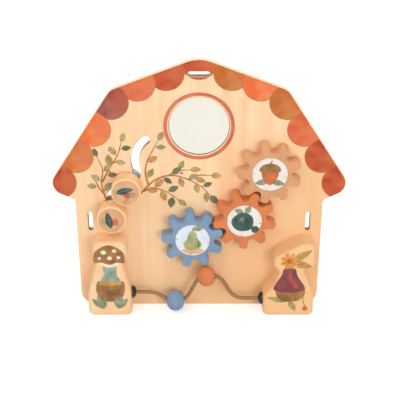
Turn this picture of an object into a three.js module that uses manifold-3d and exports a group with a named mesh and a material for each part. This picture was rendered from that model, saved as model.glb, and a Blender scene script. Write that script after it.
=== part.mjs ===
// Wooden activity house: an upright house-shaped board with a recessed mirror,
// three meshing gears, two discs that slide in an S-shaped slot, and two beads
// on a bent wire that runs between the two blocks the board stands on.
// Sizes are in millimetres. x runs to the right, z up, and the child sits at -y.
// A depth is counted from the front face of the board towards the child.

import * as THREE from 'three';
import { mergeVertices } from 'three/addons/utils/BufferGeometryUtils.js';
import Module from 'manifold-3d';

const wasm = await Module();
wasm.setup();

// Shared clearances
const seatGap = 0.3;          // between fixed pieces that meet
const runGap = 0.3;           // between a moving piece and what carries it
const overrun = 2;            // how far a cutter passes the face that it opens
const repeatGap = 0.01;       // outline points closer than this are one point

// Board
const boardThickness = 9;
const boardEdge = 1;          // softened front and back edges, also round the slots
const ridgeHeight = 327;
const ridgeRound = 40;
const shoulderHalfWidth = 102.5;
const shoulderDrop = 39;      // from the ridge corner down to the shoulders
const shoulderRound = 20;
const eaveHalfWidth = 183.5;
const eaveHeight = 164;
const eaveRound = 16;
const wallHalfWidth = 150;
const eaveRise = 16;          // from the top of the wall up to the eave
const wallRound = 5;
const baseRound = 18;

// Slots for hanging straps: one under the ridge, one beside each wall
const strapSlotLength = 25;
const strapSlotWidth = 5.5;
const ridgeSlotDrop = 17.2;   // from the rounded ridge down to the slot
const wallSlotInset = 17;     // from the wall in to the slot
const wallSlotHeight = 119;

// Mirror
const mirrorDrop = 83.5;      // from the ridge corner down to the mirror
const mirrorPocketRadius = 35.75;
const mirrorPocketDepth = 3.5;
const mirrorThickness = 2;

// Gears: straight-sided teeth with round tips and round valleys
const toothCount = 9;
const pitchRadius = 34;
const toothRise = 4;          // from the pitch circle out to the tips
const toothDrop = 8;          // from the pitch circle in to the valleys
const tipRound = 3.6;
const tipHalfFlat = 1.4;      // from a tooth's middle to the centre of each round at its tip
const valleyRound = 5;
const gearThickness = 15;
const gearStandOff = 1;       // from the board to the back of a gear
const gearEdge = 0.9;
const middleGearX = 54.7;
const middleGearZ = 127.4;
const lowGearDirection = THREE.MathUtils.degToRad(202.7);
const highGearDirection = THREE.MathUtils.degToRad(65);
const lowGearPhase = THREE.MathUtils.degToRad(16.5);

// Gear axles, each held by a screw from behind and covered by a printed cap
const journalRadius = 6;
const axleHeadRadius = 10;
const axleHeadThickness = 2.8;
const axleCollarRadius = 9;
const axleCollarThickness = 0.4;
const axleSpigotRadius = 4;
const capRadius = 21;
const capThickness = 2.3;

// Screws, all driven from behind
const screwRadius = 2;
const screwHeadRadius = 4.5;
const screwHeadThickness = 2.6;
const screwHeadEdge = 0.7;
const screwPointLength = 2;
const crossLength = 4.6;
const crossWidth = 1;
const crossDepth = 1.2;
const axleScrewReach = 7;     // in front of the board face
const blockScrewReach = 16;
const sliderScrewReach = 13;

// S-shaped slot: three tangent arcs, from the upper end down
const slotWidth = 9.8;
const middleArcX = -93.8;
const middleArcZ = 186.1;
const middleArcRadius = 19.3;
const upperArcRadius = 34;
const lowerArcRadius = 24;
const upperArcEnd = THREE.MathUtils.degToRad(126.7);
const upperBend = THREE.MathUtils.degToRad(14);
const lowerBend = THREE.MathUtils.degToRad(-77);
const lowerArcEnd = THREE.MathUtils.degToRad(210);

// Sliding discs, each on a bush that runs in the slot
const discRadius = 18;
const discThickness = 21;
const discEdge = 2;
const upperDiscPlace = THREE.MathUtils.degToRad(-67.4);
const bushFlangeRadius = 8;
const bushFlangeThickness = 0.8;
const washerRadius = 18.2;
const washerThickness = 4;
const washerEdge = 1;

// Blocks: the feet of the board, their outlines as shares of width and height
const blockDepth = 28;
const blockEdge = 5;
const leftBlockX = -111.1;
const leftBlockWidth = 54.2;
const leftBlockHeight = 104;
const leftBlockShares = [
  [-0.5, 0, 0.13], [0.5, 0, 0.12], [0.5, 0.31, 0.37], [0.338, 0.675, 0.09],
  [0.426, 0.81, 0.22], [0.42, 1, 0.185], [-0.327, 1, 0.185], [-0.345, 0.81, 0.22],
  [-0.305, 0.675, 0.15], [-0.5, 0.27, 0.37],
];
const rightBlockX = 111;
const rightBlockWidth = 63;
const rightBlockHeight = 101.5;
const rightBlockShares = [
  [-0.5, 0, 0.1], [0.5, 0, 0.1], [0.5, 0.276, 0.22], [0.261, 0.655, 0.055],
  [0.481, 0.655, 0.1], [0.481, 1, 0.15], [0.229, 1, 0.2], [-0.325, 0.804, 0.16],
  [-0.315, 0.69, 0.12], [-0.199, 0.61, 0.045], [-0.292, 0.44, 0.24], [-0.5, 0.266, 0.13],
];
const blockScrewShares = [[0, 0.24], [0, 0.8]];

// Bent wire: its corners before they are bent, and the bend at each
const wireRadius = 2.4;
const wireDepth = 15;
const wireLeftHeight = 27.5;
const wireRightHeight = 18.4;
const dipStartX = -55;
const dipX = -22.5;
const dipHeight = 4.1;
const hillX = 11.9;
const hillHeight = 74.8;
const hillEndX = 44.2;
const leftBendRadius = 30;
const dipRadius = 19;
const hillRadius = 20;
const rightBendRadius = 20;
const wireEntry = 7;          // how far the wire goes into a block

// Domed bushes where the wire enters the blocks
const domeRadius = 8;
const domeHeight = 5;
const domeSpigotRadius = 4.5;
const domeSpigotLength = 8;

// Beads: round barrels whose bore flares at both mouths
const beadRadius = 13;
const beadLength = 21;
const beadBoreRadius = 4.4;
const beadFlare = 1.8;
const dipBeadReach = 17.7;    // from the centre of the bend to the bead
const hillBeadReach = 18.8;
const hillBeadPlace = THREE.MathUtils.degToRad(104);

// Facets
const outlineStep = Math.PI / 15;
const toothStep = Math.PI / 5;
const fineStep = Math.PI / 6;
const easedStep = Math.PI / 2;
const widePieceSides = 28;
const beadSides = 24;
const smallPieceSides = 16;
const screwSides = 10;
const wireSides = 8;
const wireSteps = 56;
const domeSteps = 3;
const beadSteps = 8;
const blockEdgeSteps = 2;

const wood = new THREE.MeshStandardMaterial({ color: '#f3c596', roughness: 0.6 });
const blockWood = new THREE.MeshStandardMaterial({ color: '#fccb98', roughness: 0.6 });
const discWood = new THREE.MeshStandardMaterial({ color: '#e9b183', roughness: 0.6 });
const bluePaint = new THREE.MeshStandardMaterial({ color: '#7a97b6', roughness: 0.55 });
const orangePaint = new THREE.MeshStandardMaterial({ color: '#df834c', roughness: 0.55 });
const tanPaint = new THREE.MeshStandardMaterial({ color: '#dea072', roughness: 0.55 });
const whitePaint = new THREE.MeshStandardMaterial({ color: '#f1ede9', roughness: 0.5 });
const mirrorFinish = new THREE.MeshStandardMaterial({ color: '#eef2f4', roughness: 0.05, metalness: 1 });
const steel = new THREE.MeshStandardMaterial({ color: '#b9bcc0', roughness: 0.35, metalness: 1 });
const wireCoat = new THREE.MeshStandardMaterial({ color: '#a2764e', roughness: 0.45 });
const blackPlastic = new THREE.MeshStandardMaterial({ color: '#1d1513', roughness: 0.35 });
const palePlastic = new THREE.MeshStandardMaterial({ color: '#d9d5cf', roughness: 0.5 });

// Directions: outlines are drawn with x to the right and y up, and grow towards
// the child; turned profiles hold a radius and a height along their axis.
const right = new THREE.Vector3(1, 0, 0);
const up = new THREE.Vector3(0, 0, 1);
const forward = new THREE.Vector3(0, -1, 0);
const standing = new THREE.Matrix4().makeBasis(right, up, forward);
const facingChild = new THREE.Matrix4().makeBasis(right, forward, up.clone().negate());
const alongBoard = new THREE.Matrix4().makeBasis(up, right, forward.clone().negate());

// Points of a circular arc, both ends included
function arcPoints(centre, radius, from, to, step = outlineStep) {
  const count = Math.max(1, Math.ceil(Math.abs(to - from) / step));
  return Array.from({ length: count + 1 }, (_, i) => {
    const angle = from + (to - from) * i / count;
    return new THREE.Vector2(Math.cos(angle), Math.sin(angle)).multiplyScalar(radius).add(centre);
  });
}

// The two tangent points and the centre of the round at one corner of an outline
function cornerRound(before, corner, after, round) {
  const back = before.clone().sub(corner).normalize();
  const ahead = after.clone().sub(corner).normalize();
  const halfAngle = Math.acos(back.dot(ahead)) / 2;
  const bisector = back.clone().add(ahead).normalize();
  const centre = bisector.multiplyScalar(round / Math.sin(halfAngle)).add(corner);
  const start = back.multiplyScalar(round / Math.tan(halfAngle)).add(corner);
  const end = ahead.multiplyScalar(round / Math.tan(halfAngle)).add(corner);
  return { centre, start, end };
}

// Closed outline from corners of [x, y, round]
function roundedOutline(corners, step = outlineStep) {
  const places = corners.map(([x, y]) => new THREE.Vector2(x, y));
  return corners.flatMap(([, , round = 0], i) => {
    if (round === 0) return [places[i]];
    const next = places[(i + 1) % places.length];
    const { centre, start, end } = cornerRound(places.at(i - 1), places[i], next, round);
    const from = start.clone().sub(centre).angle();
    const turn = end.clone().sub(centre).angle() - from;
    const shortTurn = Math.atan2(Math.sin(turn), Math.cos(turn));
    return arcPoints(centre, round, from, from + shortTurn, step);
  });
}

// Slab of an outline between two depths, its edges eased at both faces
function slab(shape, back, front, edge = 0, edgeSteps = 1) {
  const geometry = new THREE.ExtrudeGeometry(shape, {
    depth: front - back - 2 * edge,
    bevelEnabled: edge > 0,
    bevelThickness: edge,
    bevelSize: edge,
    bevelOffset: -edge,
    bevelSegments: edgeSteps,
  });
  return geometry.translate(0, 0, back + edge).applyMatrix4(standing);
}

// Turned piece: corners of [radius, height, round], in order round the section
function turned(corners, sides, direction = facingChild, step = easedStep) {
  const profile = roundedOutline(corners, step);
  const onAxis = corners[0][0] === 0;
  if (!onAxis) profile.push(profile[0].clone());
  return new THREE.LatheGeometry(profile, sides).applyMatrix4(direction);
}

// Round cutter between two depths
function roundCutter(radius, back, front, x, z, sides = smallPieceSides) {
  const corners = [[0, back], [radius, back], [radius, front], [0, front]];
  return turned(corners, sides).translate(x, 0, z);
}

function toSolid(geometry) {
  const bare = geometry.clone();
  bare.deleteAttribute('normal');
  bare.deleteAttribute('uv');
  const merged = mergeVertices(bare);
  const corners = Array.from(merged.index.array);
  const kept = [];
  for (let i = 0; i < corners.length; i += 3) {
    const [a, b, c] = corners.slice(i, i + 3);
    if (a !== b && b !== c && c !== a) kept.push(a, b, c);
  }
  const vertProperties = Float32Array.from(merged.attributes.position.array);
  const triVerts = Uint32Array.from(kept);
  return new wasm.Manifold(new wasm.Mesh({ numProp: 3, vertProperties, triVerts }));
}

function toGeometry(solid) {
  const { vertProperties, triVerts } = solid.getMesh();
  const geometry = new THREE.BufferGeometry();
  geometry.setAttribute('position', new THREE.BufferAttribute(vertProperties, 3));
  geometry.setIndex(new THREE.BufferAttribute(triVerts, 1));
  geometry.computeVertexNormals();
  return geometry;
}

// Body with cutters taken out of it
function cut(geometry, cutters) {
  const whole = toSolid(geometry);
  return toGeometry(cutters.reduce((solid, cutter) => solid.subtract(toSolid(cutter)), whole));
}

const house = new THREE.Group();
house.name = 'activity_house';

function addPiece(name, geometry, material, x = 0, depth = 0, z = 0) {
  const mesh = new THREE.Mesh(geometry, material);
  mesh.name = name;
  mesh.position.set(x, -depth, z);
  house.add(mesh);
  return mesh;
}

// Places on the board
const boardBack = -boardThickness;
const wallHeight = eaveHeight - eaveRise;
const shoulderHeight = ridgeHeight - shoulderDrop;
const mirrorHeight = ridgeHeight - mirrorDrop;
const middleArc = new THREE.Vector2(middleArcX, middleArcZ);
const upperArc = arcPoints(middleArc, middleArcRadius + upperArcRadius, upperBend, upperBend)[0];
const lowerArc = arcPoints(middleArc, middleArcRadius + lowerArcRadius, lowerBend, lowerBend)[0];
const upperDisc = arcPoints(middleArc, middleArcRadius, upperDiscPlace, upperDiscPlace)[0];
const lowerDisc = arcPoints(lowerArc, lowerArcRadius, lowerArcEnd, lowerArcEnd)[0];
const middleGear = new THREE.Vector2(middleGearX, middleGearZ);
const lowGear = arcPoints(middleGear, 2 * pitchRadius, lowGearDirection, lowGearDirection)[0];
const highGear = arcPoints(middleGear, 2 * pitchRadius, highGearDirection, highGearDirection)[0];
const toothAngle = 2 * Math.PI / toothCount;

// Two gears mesh when a tooth of one points into a valley of the other
const meshedPhase = (phase, direction) => 2 * direction + Math.PI + toothAngle / 2 - phase;
const middleGearPhase = meshedPhase(lowGearPhase, lowGearDirection);
const highGearPhase = meshedPhase(middleGearPhase, highGearDirection);

const gears = [
  { colour: 'blue', place: lowGear, phase: lowGearPhase, material: bluePaint },
  { colour: 'orange', place: middleGear, phase: middleGearPhase, material: orangePaint },
  { colour: 'tan', place: highGear, phase: highGearPhase, material: tanPaint },
];
const sliders = [
  { level: 'upper', place: upperDisc },
  { level: 'lower', place: lowerDisc },
];
const blocks = [
  {
    side: 'left', x: leftBlockX, width: leftBlockWidth, height: leftBlockHeight, shares: leftBlockShares,
    inner: leftBlockX + leftBlockWidth / 2, wireHeight: wireLeftHeight, towardsWire: 1,
  },
  {
    side: 'right', x: rightBlockX, width: rightBlockWidth, height: rightBlockHeight, shares: rightBlockShares,
    inner: rightBlockX - rightBlockWidth / 2, wireHeight: wireRightHeight, towardsWire: -1,
  },
];
const blockScrews = blocks.flatMap(({ side, x, width, height }) => (
  blockScrewShares.map(([across, above], i) => ({
    name: `block_screw_${side}_${i === 0 ? 'low' : 'high'}`,
    x: x + across * width,
    z: above * height,
  }))
));

// Screw holes: a clearance hole with a pocket that lets the head lie flush behind
const headPocketFloor = boardBack + screwHeadThickness + seatGap;
function screwHole(x, z, holeRadius) {
  return [
    roundCutter(holeRadius, boardBack - overrun, overrun, x, z),
    roundCutter(screwHeadRadius + seatGap, boardBack - overrun, headPocketFloor, x, z),
  ];
}

// S-shaped slot, widened to both sides of its three arcs, with round ends
function slotOutline() {
  const half = slotWidth / 2;
  const upperFrom = upperArcEnd;
  const upperTo = upperBend + Math.PI;
  const lowerFrom = lowerBend + Math.PI;
  const upperEnd = arcPoints(upperArc, upperArcRadius, upperArcEnd, upperArcEnd)[0];
  return [
    ...arcPoints(upperArc, upperArcRadius + half, upperFrom, upperTo),
    ...arcPoints(middleArc, middleArcRadius - half, upperBend, lowerBend),
    ...arcPoints(lowerArc, lowerArcRadius + half, lowerFrom, lowerArcEnd),
    ...arcPoints(lowerDisc, half, lowerArcEnd, lowerArcEnd + Math.PI, fineStep),
    ...arcPoints(lowerArc, lowerArcRadius - half, lowerArcEnd, lowerFrom),
    ...arcPoints(middleArc, middleArcRadius + half, lowerBend, upperBend),
    ...arcPoints(upperArc, upperArcRadius - half, upperTo, upperFrom),
    ...arcPoints(upperEnd, half, upperFrom - Math.PI, upperFrom, fineStep),
  ];
}

// Outlines made of arcs repeat the point where two arcs meet
function withoutRepeats(points) {
  return points.filter((point, i) => point.distanceTo(points.at(i - 1)) > repeatGap);
}

function strapSlot(x, z, alongX) {
  const halfLong = strapSlotLength / 2;
  const halfWide = strapSlotWidth / 2;
  const [halfX, halfZ] = alongX ? [halfLong, halfWide] : [halfWide, halfLong];
  const signs = [[-1, -1], [1, -1], [1, 1], [-1, 1]];
  const corners = signs.map(([sx, sz]) => [x + sx * halfX, z + sz * halfZ, halfWide]);
  return withoutRepeats(roundedOutline(corners, fineStep));
}

function boardGeometry() {
  const halfOutline = [
    [wallHalfWidth, 0, baseRound],
    [wallHalfWidth, wallHeight, wallRound],
    [eaveHalfWidth, eaveHeight, eaveRound],
    [shoulderHalfWidth, shoulderHeight, shoulderRound],
  ];
  const otherHalf = halfOutline.map(([x, z, round]) => [-x, z, round]).reverse();
  const corners = [...halfOutline, [0, ridgeHeight, ridgeRound], ...otherHalf];
  const ridge = new THREE.Vector2(0, ridgeHeight);
  const shoulders = [shoulderHalfWidth, -shoulderHalfWidth].map((x) => (
    new THREE.Vector2(x, shoulderHeight)
  ));
  const crest = cornerRound(shoulders[0], ridge, shoulders[1], ridgeRound).centre.y + ridgeRound;
  const outline = new THREE.Shape(roundedOutline(corners));
  const wallSlotX = wallHalfWidth - wallSlotInset;
  outline.holes = [
    strapSlot(0, crest - ridgeSlotDrop, true),
    strapSlot(-wallSlotX, wallSlotHeight, false),
    strapSlot(wallSlotX, wallSlotHeight, false),
    withoutRepeats(slotOutline()),
  ].map((points) => new THREE.Path(points));
  const pocketBack = -mirrorPocketDepth;
  const pocket = roundCutter(mirrorPocketRadius, pocketBack, overrun, 0, mirrorHeight, widePieceSides);
  const spigotHole = axleSpigotRadius + seatGap;
  const axleHoles = gears.flatMap(({ place }) => screwHole(place.x, place.y, spigotHole));
  const blockHoles = blockScrews.flatMap(({ x, z }) => screwHole(x, z, screwRadius + seatGap));
  return cut(slab(outline, boardBack, 0, boardEdge), [pocket, ...axleHoles, ...blockHoles]);
}

function mirrorGeometry() {
  const radius = mirrorPocketRadius - seatGap;
  return turned([[0, 0], [radius, 0], [radius, mirrorThickness], [0, mirrorThickness]], widePieceSides);
}

// One tooth gives a round tip and the round valley beside it; the flank between
// them is the line that touches both circles
function gearOutline() {
  const middle = new THREE.Vector2();
  const tip = pitchRadius + toothRise - tipRound;
  const crown = Math.asin(tipHalfFlat / tip);
  const tipPlace = new THREE.Vector2(tip, 0).rotateAround(middle, crown);
  const valley = pitchRadius - toothDrop + valleyRound;
  const valleyPlace = new THREE.Vector2(valley, 0).rotateAround(middle, toothAngle / 2);
  const between = valleyPlace.clone().sub(tipPlace);
  const flank = between.angle() - Math.acos((tipRound + valleyRound) / between.length());
  const points = [];
  for (let i = 0; i < toothCount; i += 1) {
    const turn = i * toothAngle;
    const lowTip = tipPlace.clone().rotateAround(middle, turn - 2 * crown);
    const highTip = tipPlace.clone().rotateAround(middle, turn);
    const valleyCentre = valleyPlace.clone().rotateAround(middle, turn);
    const valleyStart = turn + flank + Math.PI;
    const valleyEnd = turn + toothAngle - flank - Math.PI;
    points.push(...arcPoints(lowTip, tipRound, turn - flank, turn - crown, toothStep));
    points.push(...arcPoints(highTip, tipRound, turn + crown, turn + flank, toothStep));
    points.push(...arcPoints(valleyCentre, valleyRound, valleyStart, valleyEnd + 2 * Math.PI, toothStep));
  }
  return points;
}

// Depths in a gear: back, head pocket, cap pocket and front
const gearBack = gearStandOff;
const gearFront = gearBack + gearThickness;
const capFloor = gearFront - capThickness - seatGap;
const headBack = capFloor - axleHeadThickness;
const headFloor = headBack - runGap;

function gearGeometry() {
  const body = slab(new THREE.Shape(gearOutline()), gearBack, gearFront, gearEdge);
  return cut(body, [
    roundCutter(journalRadius + runGap, gearBack - overrun, gearFront, 0, 0, widePieceSides),
    roundCutter(axleHeadRadius + runGap, headFloor, gearFront + overrun, 0, 0, widePieceSides),
    roundCutter(capRadius + seatGap, capFloor, gearFront + overrun, 0, 0, widePieceSides),
  ]);
}

function capGeometry() {
  return turned([
    [0, gearFront - capThickness], [capRadius, gearFront - capThickness],
    [capRadius, gearFront], [0, gearFront],
  ], widePieceSides);
}

// Axle: a spigot in the board, a thin collar against it, the journal and a head
function axleGeometry() {
  const collarBack = seatGap;
  const collarFront = collarBack + axleCollarThickness;
  const spigotBack = headPocketFloor + seatGap;
  const boreRadius = screwRadius + seatGap;
  const boreEnd = axleScrewReach + seatGap;
  return turned([
    [0, boreEnd], [boreRadius, boreEnd], [boreRadius, spigotBack], [axleSpigotRadius, spigotBack],
    [axleSpigotRadius, collarBack], [axleCollarRadius, collarBack], [axleCollarRadius, collarFront],
    [journalRadius, collarFront], [journalRadius, headBack], [axleHeadRadius, headBack],
    [axleHeadRadius, capFloor], [0, capFloor],
  ], smallPieceSides);
}

// Screw: domed head with a cross, straight shank and a short point
function screwGeometry(headFront, reach) {
  const headRear = headFront - screwHeadThickness;
  const body = turned([
    [0, headRear], [screwHeadRadius, headRear, screwHeadEdge], [screwHeadRadius, headFront],
    [screwRadius, headFront], [screwRadius, reach - screwPointLength], [0, reach],
  ], screwSides);
  const arms = [[crossLength, crossWidth], [crossWidth, crossLength]].map(([width, height]) => {
    const arm = new THREE.BoxGeometry(width, 2 * crossDepth, height);
    return arm.translate(0, -headRear, 0);
  });
  return cut(body, arms);
}

// Block: outline scaled to its size, rounded at the front, flat against the board
function blockGeometry({ side, x, width, height, shares, inner, wireHeight, towardsWire }) {
  const corners = shares.map(([across, above, round]) => (
    [x + across * width, above * height, round * width]
  ));
  const outline = new THREE.Shape(roundedOutline(corners));
  const body = slab(outline, -blockEdge, blockDepth, blockEdge, blockEdgeSteps);
  const behind = new THREE.BoxGeometry(2 * width, blockEdge + overrun, 2 * height);
  behind.translate(x, (blockEdge + overrun) / 2, height / 2);
  const pilotEnd = blockScrewReach + seatGap;
  const pilots = blockScrews.filter(({ name }) => name.includes(side)).map((screw) => (
    roundCutter(screwRadius + seatGap, -overrun, pilotEnd, screw.x, screw.z, screwSides)
  ));
  const socketReach = domeSpigotLength + seatGap;
  const socketRadius = domeSpigotRadius + seatGap;
  const socket = turned([
    [0, -socketReach], [socketRadius, -socketReach], [socketRadius, overrun], [0, overrun],
  ], smallPieceSides, alongBoard);
  if (towardsWire < 0) socket.rotateZ(Math.PI);
  socket.translate(inner, -wireDepth, wireHeight);
  return cut(body, [behind, ...pilots, socket]);
}

// Domed bush in the side of a block, bored for the wire
function domeGeometry() {
  const boreRadius = wireRadius + seatGap;
  const dome = Array.from({ length: domeSteps + 1 }, (_, i) => {
    const angle = Math.PI / 2 * i / domeSteps;
    const radius = boreRadius + (domeRadius - boreRadius) * Math.cos(angle);
    return [radius, seatGap + domeHeight * Math.sin(angle)];
  });
  return turned([
    [boreRadius, -domeSpigotLength], [domeSpigotRadius, -domeSpigotLength], [domeSpigotRadius, seatGap],
    ...dome,
  ], smallPieceSides, alongBoard);
}

// Disc with rounded rims and a blind hole for its screw
const discBack = runGap + bushFlangeThickness + runGap;
function discGeometry() {
  const holeRadius = screwRadius + seatGap;
  const holeEnd = sliderScrewReach + seatGap;
  const discFront = discBack + discThickness;
  return turned([
    [0, holeEnd], [holeRadius, holeEnd], [holeRadius, discBack], [discRadius, discBack, discEdge],
    [discRadius, discFront, discEdge], [0, discFront],
  ], widePieceSides, facingChild, fineStep);
}

// Bush: a flange between disc and board, and a neck through slot and washer
const washerFront = boardBack - runGap;
const washerBack = washerFront - washerThickness;
const neckRadius = slotWidth / 2 - runGap;
function bushGeometry() {
  const boreRadius = screwRadius + runGap;
  return turned([
    [boreRadius, washerBack], [neckRadius, washerBack], [neckRadius, runGap], [bushFlangeRadius, runGap],
    [bushFlangeRadius, runGap + bushFlangeThickness], [boreRadius, runGap + bushFlangeThickness],
  ], smallPieceSides);
}

function washerGeometry() {
  const boreRadius = neckRadius + seatGap;
  return turned([
    [boreRadius, washerBack], [washerRadius, washerBack, washerEdge],
    [washerRadius, washerFront, washerEdge], [boreRadius, washerFront],
  ], widePieceSides);
}

// Path of the wire, with an arc of its own radius at each bend
const leftEntry = blocks[0].inner - wireEntry;
const rightEntry = blocks[1].inner + wireEntry;
const wireCorners = [
  [leftEntry, wireLeftHeight], [dipStartX, wireLeftHeight, leftBendRadius], [dipX, dipHeight, dipRadius],
  [hillX, hillHeight, hillRadius], [hillEndX, wireRightHeight, rightBendRadius],
  [rightEntry, wireRightHeight],
];
const wirePlaces = wireCorners.map(([x, z]) => new THREE.Vector2(x, z));
const wireBends = wireCorners.map(([, , round], i) => (
  round ? cornerRound(wirePlaces[i - 1], wirePlaces[i], wirePlaces[i + 1], round) : null
));

const wireEnd = (i) => [wirePlaces[i].x, wirePlaces[i].y, 0];

function wireGeometry() {
  const inSpace = (point) => new THREE.Vector3(point.x, -wireDepth, point.y);
  const path = new THREE.CurvePath();
  let last = wirePlaces[0];
  wireBends.forEach((bend, i) => {
    if (i === 0) return;
    const arrival = bend ? bend.start : wirePlaces[i];
    path.add(new THREE.LineCurve3(inSpace(last), inSpace(arrival)));
    if (!bend) return;
    const points = roundedOutline([wireEnd(i - 1), wireCorners[i], wireEnd(i + 1)]).slice(1, -1);
    points.slice(1).forEach((point, k) => {
      path.add(new THREE.LineCurve3(inSpace(points[k]), inSpace(point)));
    });
    last = bend.end;
  });
  const circle = arcPoints(new THREE.Vector2(), wireRadius, 0, 2 * Math.PI, 2 * Math.PI / wireSides);
  const section = new THREE.Shape(circle.slice(1));
  const tube = new THREE.ExtrudeGeometry(section, { extrudePath: path, steps: wireSteps });
  return toGeometry(toSolid(tube));
}

// The swell of a bead is an ellipse that passes through the rims of both mouths
function beadGeometry() {
  const half = beadLength / 2;
  const flareStart = half - beadFlare;
  const mouthAngle = Math.acos((beadBoreRadius + beadFlare) / beadRadius);
  const ellipseReach = half / Math.sin(mouthAngle);
  const swell = Array.from({ length: beadSteps + 1 }, (_, i) => {
    const angle = mouthAngle * (2 * i / beadSteps - 1);
    return [beadRadius * Math.cos(angle), ellipseReach * Math.sin(angle)];
  });
  return turned([
    [beadBoreRadius, -flareStart], ...swell, [beadBoreRadius, flareStart],
  ], beadSides, alongBoard);
}

// A bead on a bend sits square to the line from the centre of that bend
function addBead(name, material, bend, reach, place) {
  const spot = arcPoints(bend.centre, reach, place, place)[0];
  const bead = addPiece(name, beadGeometry(), material, spot.x, wireDepth, spot.y);
  bead.rotation.y = Math.PI / 2 - place;
}

addPiece('panel', boardGeometry(), wood);
addPiece('mirror', mirrorGeometry(), mirrorFinish, 0, -mirrorPocketDepth, mirrorHeight);
blocks.forEach((block) => addPiece(`${block.side}_block`, blockGeometry(block), blockWood));

gears.forEach(({ colour, place, phase, material }) => {
  const gear = addPiece(`gear_${colour}`, gearGeometry(), material, place.x, 0, place.y);
  gear.rotation.y = -phase;
  addPiece(`gear_cap_${colour}`, capGeometry(), whitePaint, place.x, 0, place.y);
  addPiece(`gear_axle_${colour}`, axleGeometry(), palePlastic, place.x, 0, place.y);
  const axleScrew = screwGeometry(headPocketFloor - seatGap, axleScrewReach);
  addPiece(`axle_screw_${colour}`, axleScrew, steel, place.x, 0, place.y);
});

sliders.forEach(({ level, place }) => {
  addPiece(`slider_disc_${level}`, discGeometry(), discWood, place.x, 0, place.y);
  addPiece(`slider_bush_${level}`, bushGeometry(), palePlastic, place.x, 0, place.y);
  addPiece(`slider_washer_${level}`, washerGeometry(), palePlastic, place.x, 0, place.y);
  const sliderScrew = screwGeometry(washerBack - runGap, sliderScrewReach);
  addPiece(`slider_screw_${level}`, sliderScrew, steel, place.x, 0, place.y);
});

addPiece('bead_wire', wireGeometry(), wireCoat);
addBead('bead_blue', bluePaint, wireBends[2], dipBeadReach, -Math.PI / 2);
addBead('bead_orange', orangePaint, wireBends[3], hillBeadReach, hillBeadPlace);
blocks.forEach(({ side, inner, wireHeight, towardsWire }) => {
  const dome = addPiece(`wire_cap_${side}`, domeGeometry(), blackPlastic, inner, wireDepth, wireHeight);
  if (towardsWire < 0) dome.rotation.z = Math.PI;
});
blockScrews.forEach(({ name, x, z }) => {
  const blockScrew = screwGeometry(headPocketFloor - seatGap, blockScrewReach);
  addPiece(name, blockScrew, steel, x, 0, z);
});

// The origin lies under the middle of the whole depth, between the block fronts
// and the heads of the slider screws
const rearReach = -(washerBack - runGap - screwHeadThickness);
house.position.y = (blockDepth - rearReach) / 2;

export default house;
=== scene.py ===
import math
import random

import bmesh
import bpy
from mathutils import Matrix, Vector
from mathutils.geometry import tessellate_polygon


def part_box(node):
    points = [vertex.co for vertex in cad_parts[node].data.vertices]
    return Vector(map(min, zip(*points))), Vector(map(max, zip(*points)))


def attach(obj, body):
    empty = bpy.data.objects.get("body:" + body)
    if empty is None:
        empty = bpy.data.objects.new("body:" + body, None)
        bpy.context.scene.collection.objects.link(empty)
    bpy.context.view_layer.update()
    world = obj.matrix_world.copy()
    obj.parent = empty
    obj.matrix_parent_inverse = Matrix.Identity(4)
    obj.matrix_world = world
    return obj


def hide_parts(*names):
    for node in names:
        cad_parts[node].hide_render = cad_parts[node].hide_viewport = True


# Looks of the wooden activity house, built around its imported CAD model.
# Shapes are drawn in millimetres: x to the right, z up, and a depth counted
# from the front face of the board towards the child. MM turns them into metres.

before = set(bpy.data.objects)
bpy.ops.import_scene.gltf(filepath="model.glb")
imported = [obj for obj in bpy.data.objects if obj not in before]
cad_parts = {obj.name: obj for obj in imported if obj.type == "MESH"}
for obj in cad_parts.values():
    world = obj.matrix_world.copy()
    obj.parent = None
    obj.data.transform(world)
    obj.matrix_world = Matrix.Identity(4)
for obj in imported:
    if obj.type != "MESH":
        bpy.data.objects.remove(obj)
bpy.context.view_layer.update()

MM = 0.001
TURN = 2 * math.pi
FACE_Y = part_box("panel")[0][1]

# Sizes in millimetres
SEAT = 0.3                    # between pieces that meet
BOARD_THICKNESS = 9
BOARD_EDGE = 1
# Corners of the board: distance from its middle, height and round
RIDGE = (0, 327, 40)
SHOULDER = (102.5, 288, 20)
EAVE = (183.5, 164, 16)
WALL_TOP = (150, 148, 5)
WALL_FOOT = (150, 0, 18)

STRAP_SLOT = (25, 5.5)        # length and width
RIDGE_SLOT_HEIGHT = 307
WALL_SLOT = (133, 119)        # from the middle, and height

MIRROR_HEIGHT = 243.5
MIRROR_POCKET_RADIUS = 35.75
MIRROR_POCKET_DEPTH = 3.5
MIRROR_THICKNESS = 2
MIRROR_BEVEL = 0.3
RING_INNER = 37.5
RING_OUTER = 41.7

TEETH = 9
PITCH_RADIUS = 34
TIP_RADIUS = 38
ROOT_RADIUS = 26
TIP_ROUND = 3.6
TIP_HALF_FLAT = 1.4
VALLEY_ROUND = 5
GEAR_BACK = 1
GEAR_FRONT = 16
GEAR_EDGE = 1.1
MIDDLE_GEAR = Vector((54.7, 127.4))
LOW_GEAR_DIRECTION = math.radians(202.7)
HIGH_GEAR_DIRECTION = math.radians(65)
LOW_GEAR_PHASE = math.radians(16.5)
AXLE_SPIGOT_BORE = 4.3
JOURNAL_BORE = 6.3
HEAD_BORE = 10.3
HEAD_FLOOR = 10.3
CAP_RADIUS = 21
CAP_THICKNESS = 2.3
CAP_EDGE = 0.25

SLOT_WIDTH = 9.8
MIDDLE_ARC = Vector((-93.8, 186.1))
MIDDLE_ARC_RADIUS = 19.3
UPPER_ARC_RADIUS = 34
LOWER_ARC_RADIUS = 24
UPPER_ARC_END = math.radians(126.7)
UPPER_BEND = math.radians(14)
LOWER_BEND = math.radians(-77)
LOWER_ARC_END = math.radians(210)

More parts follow.
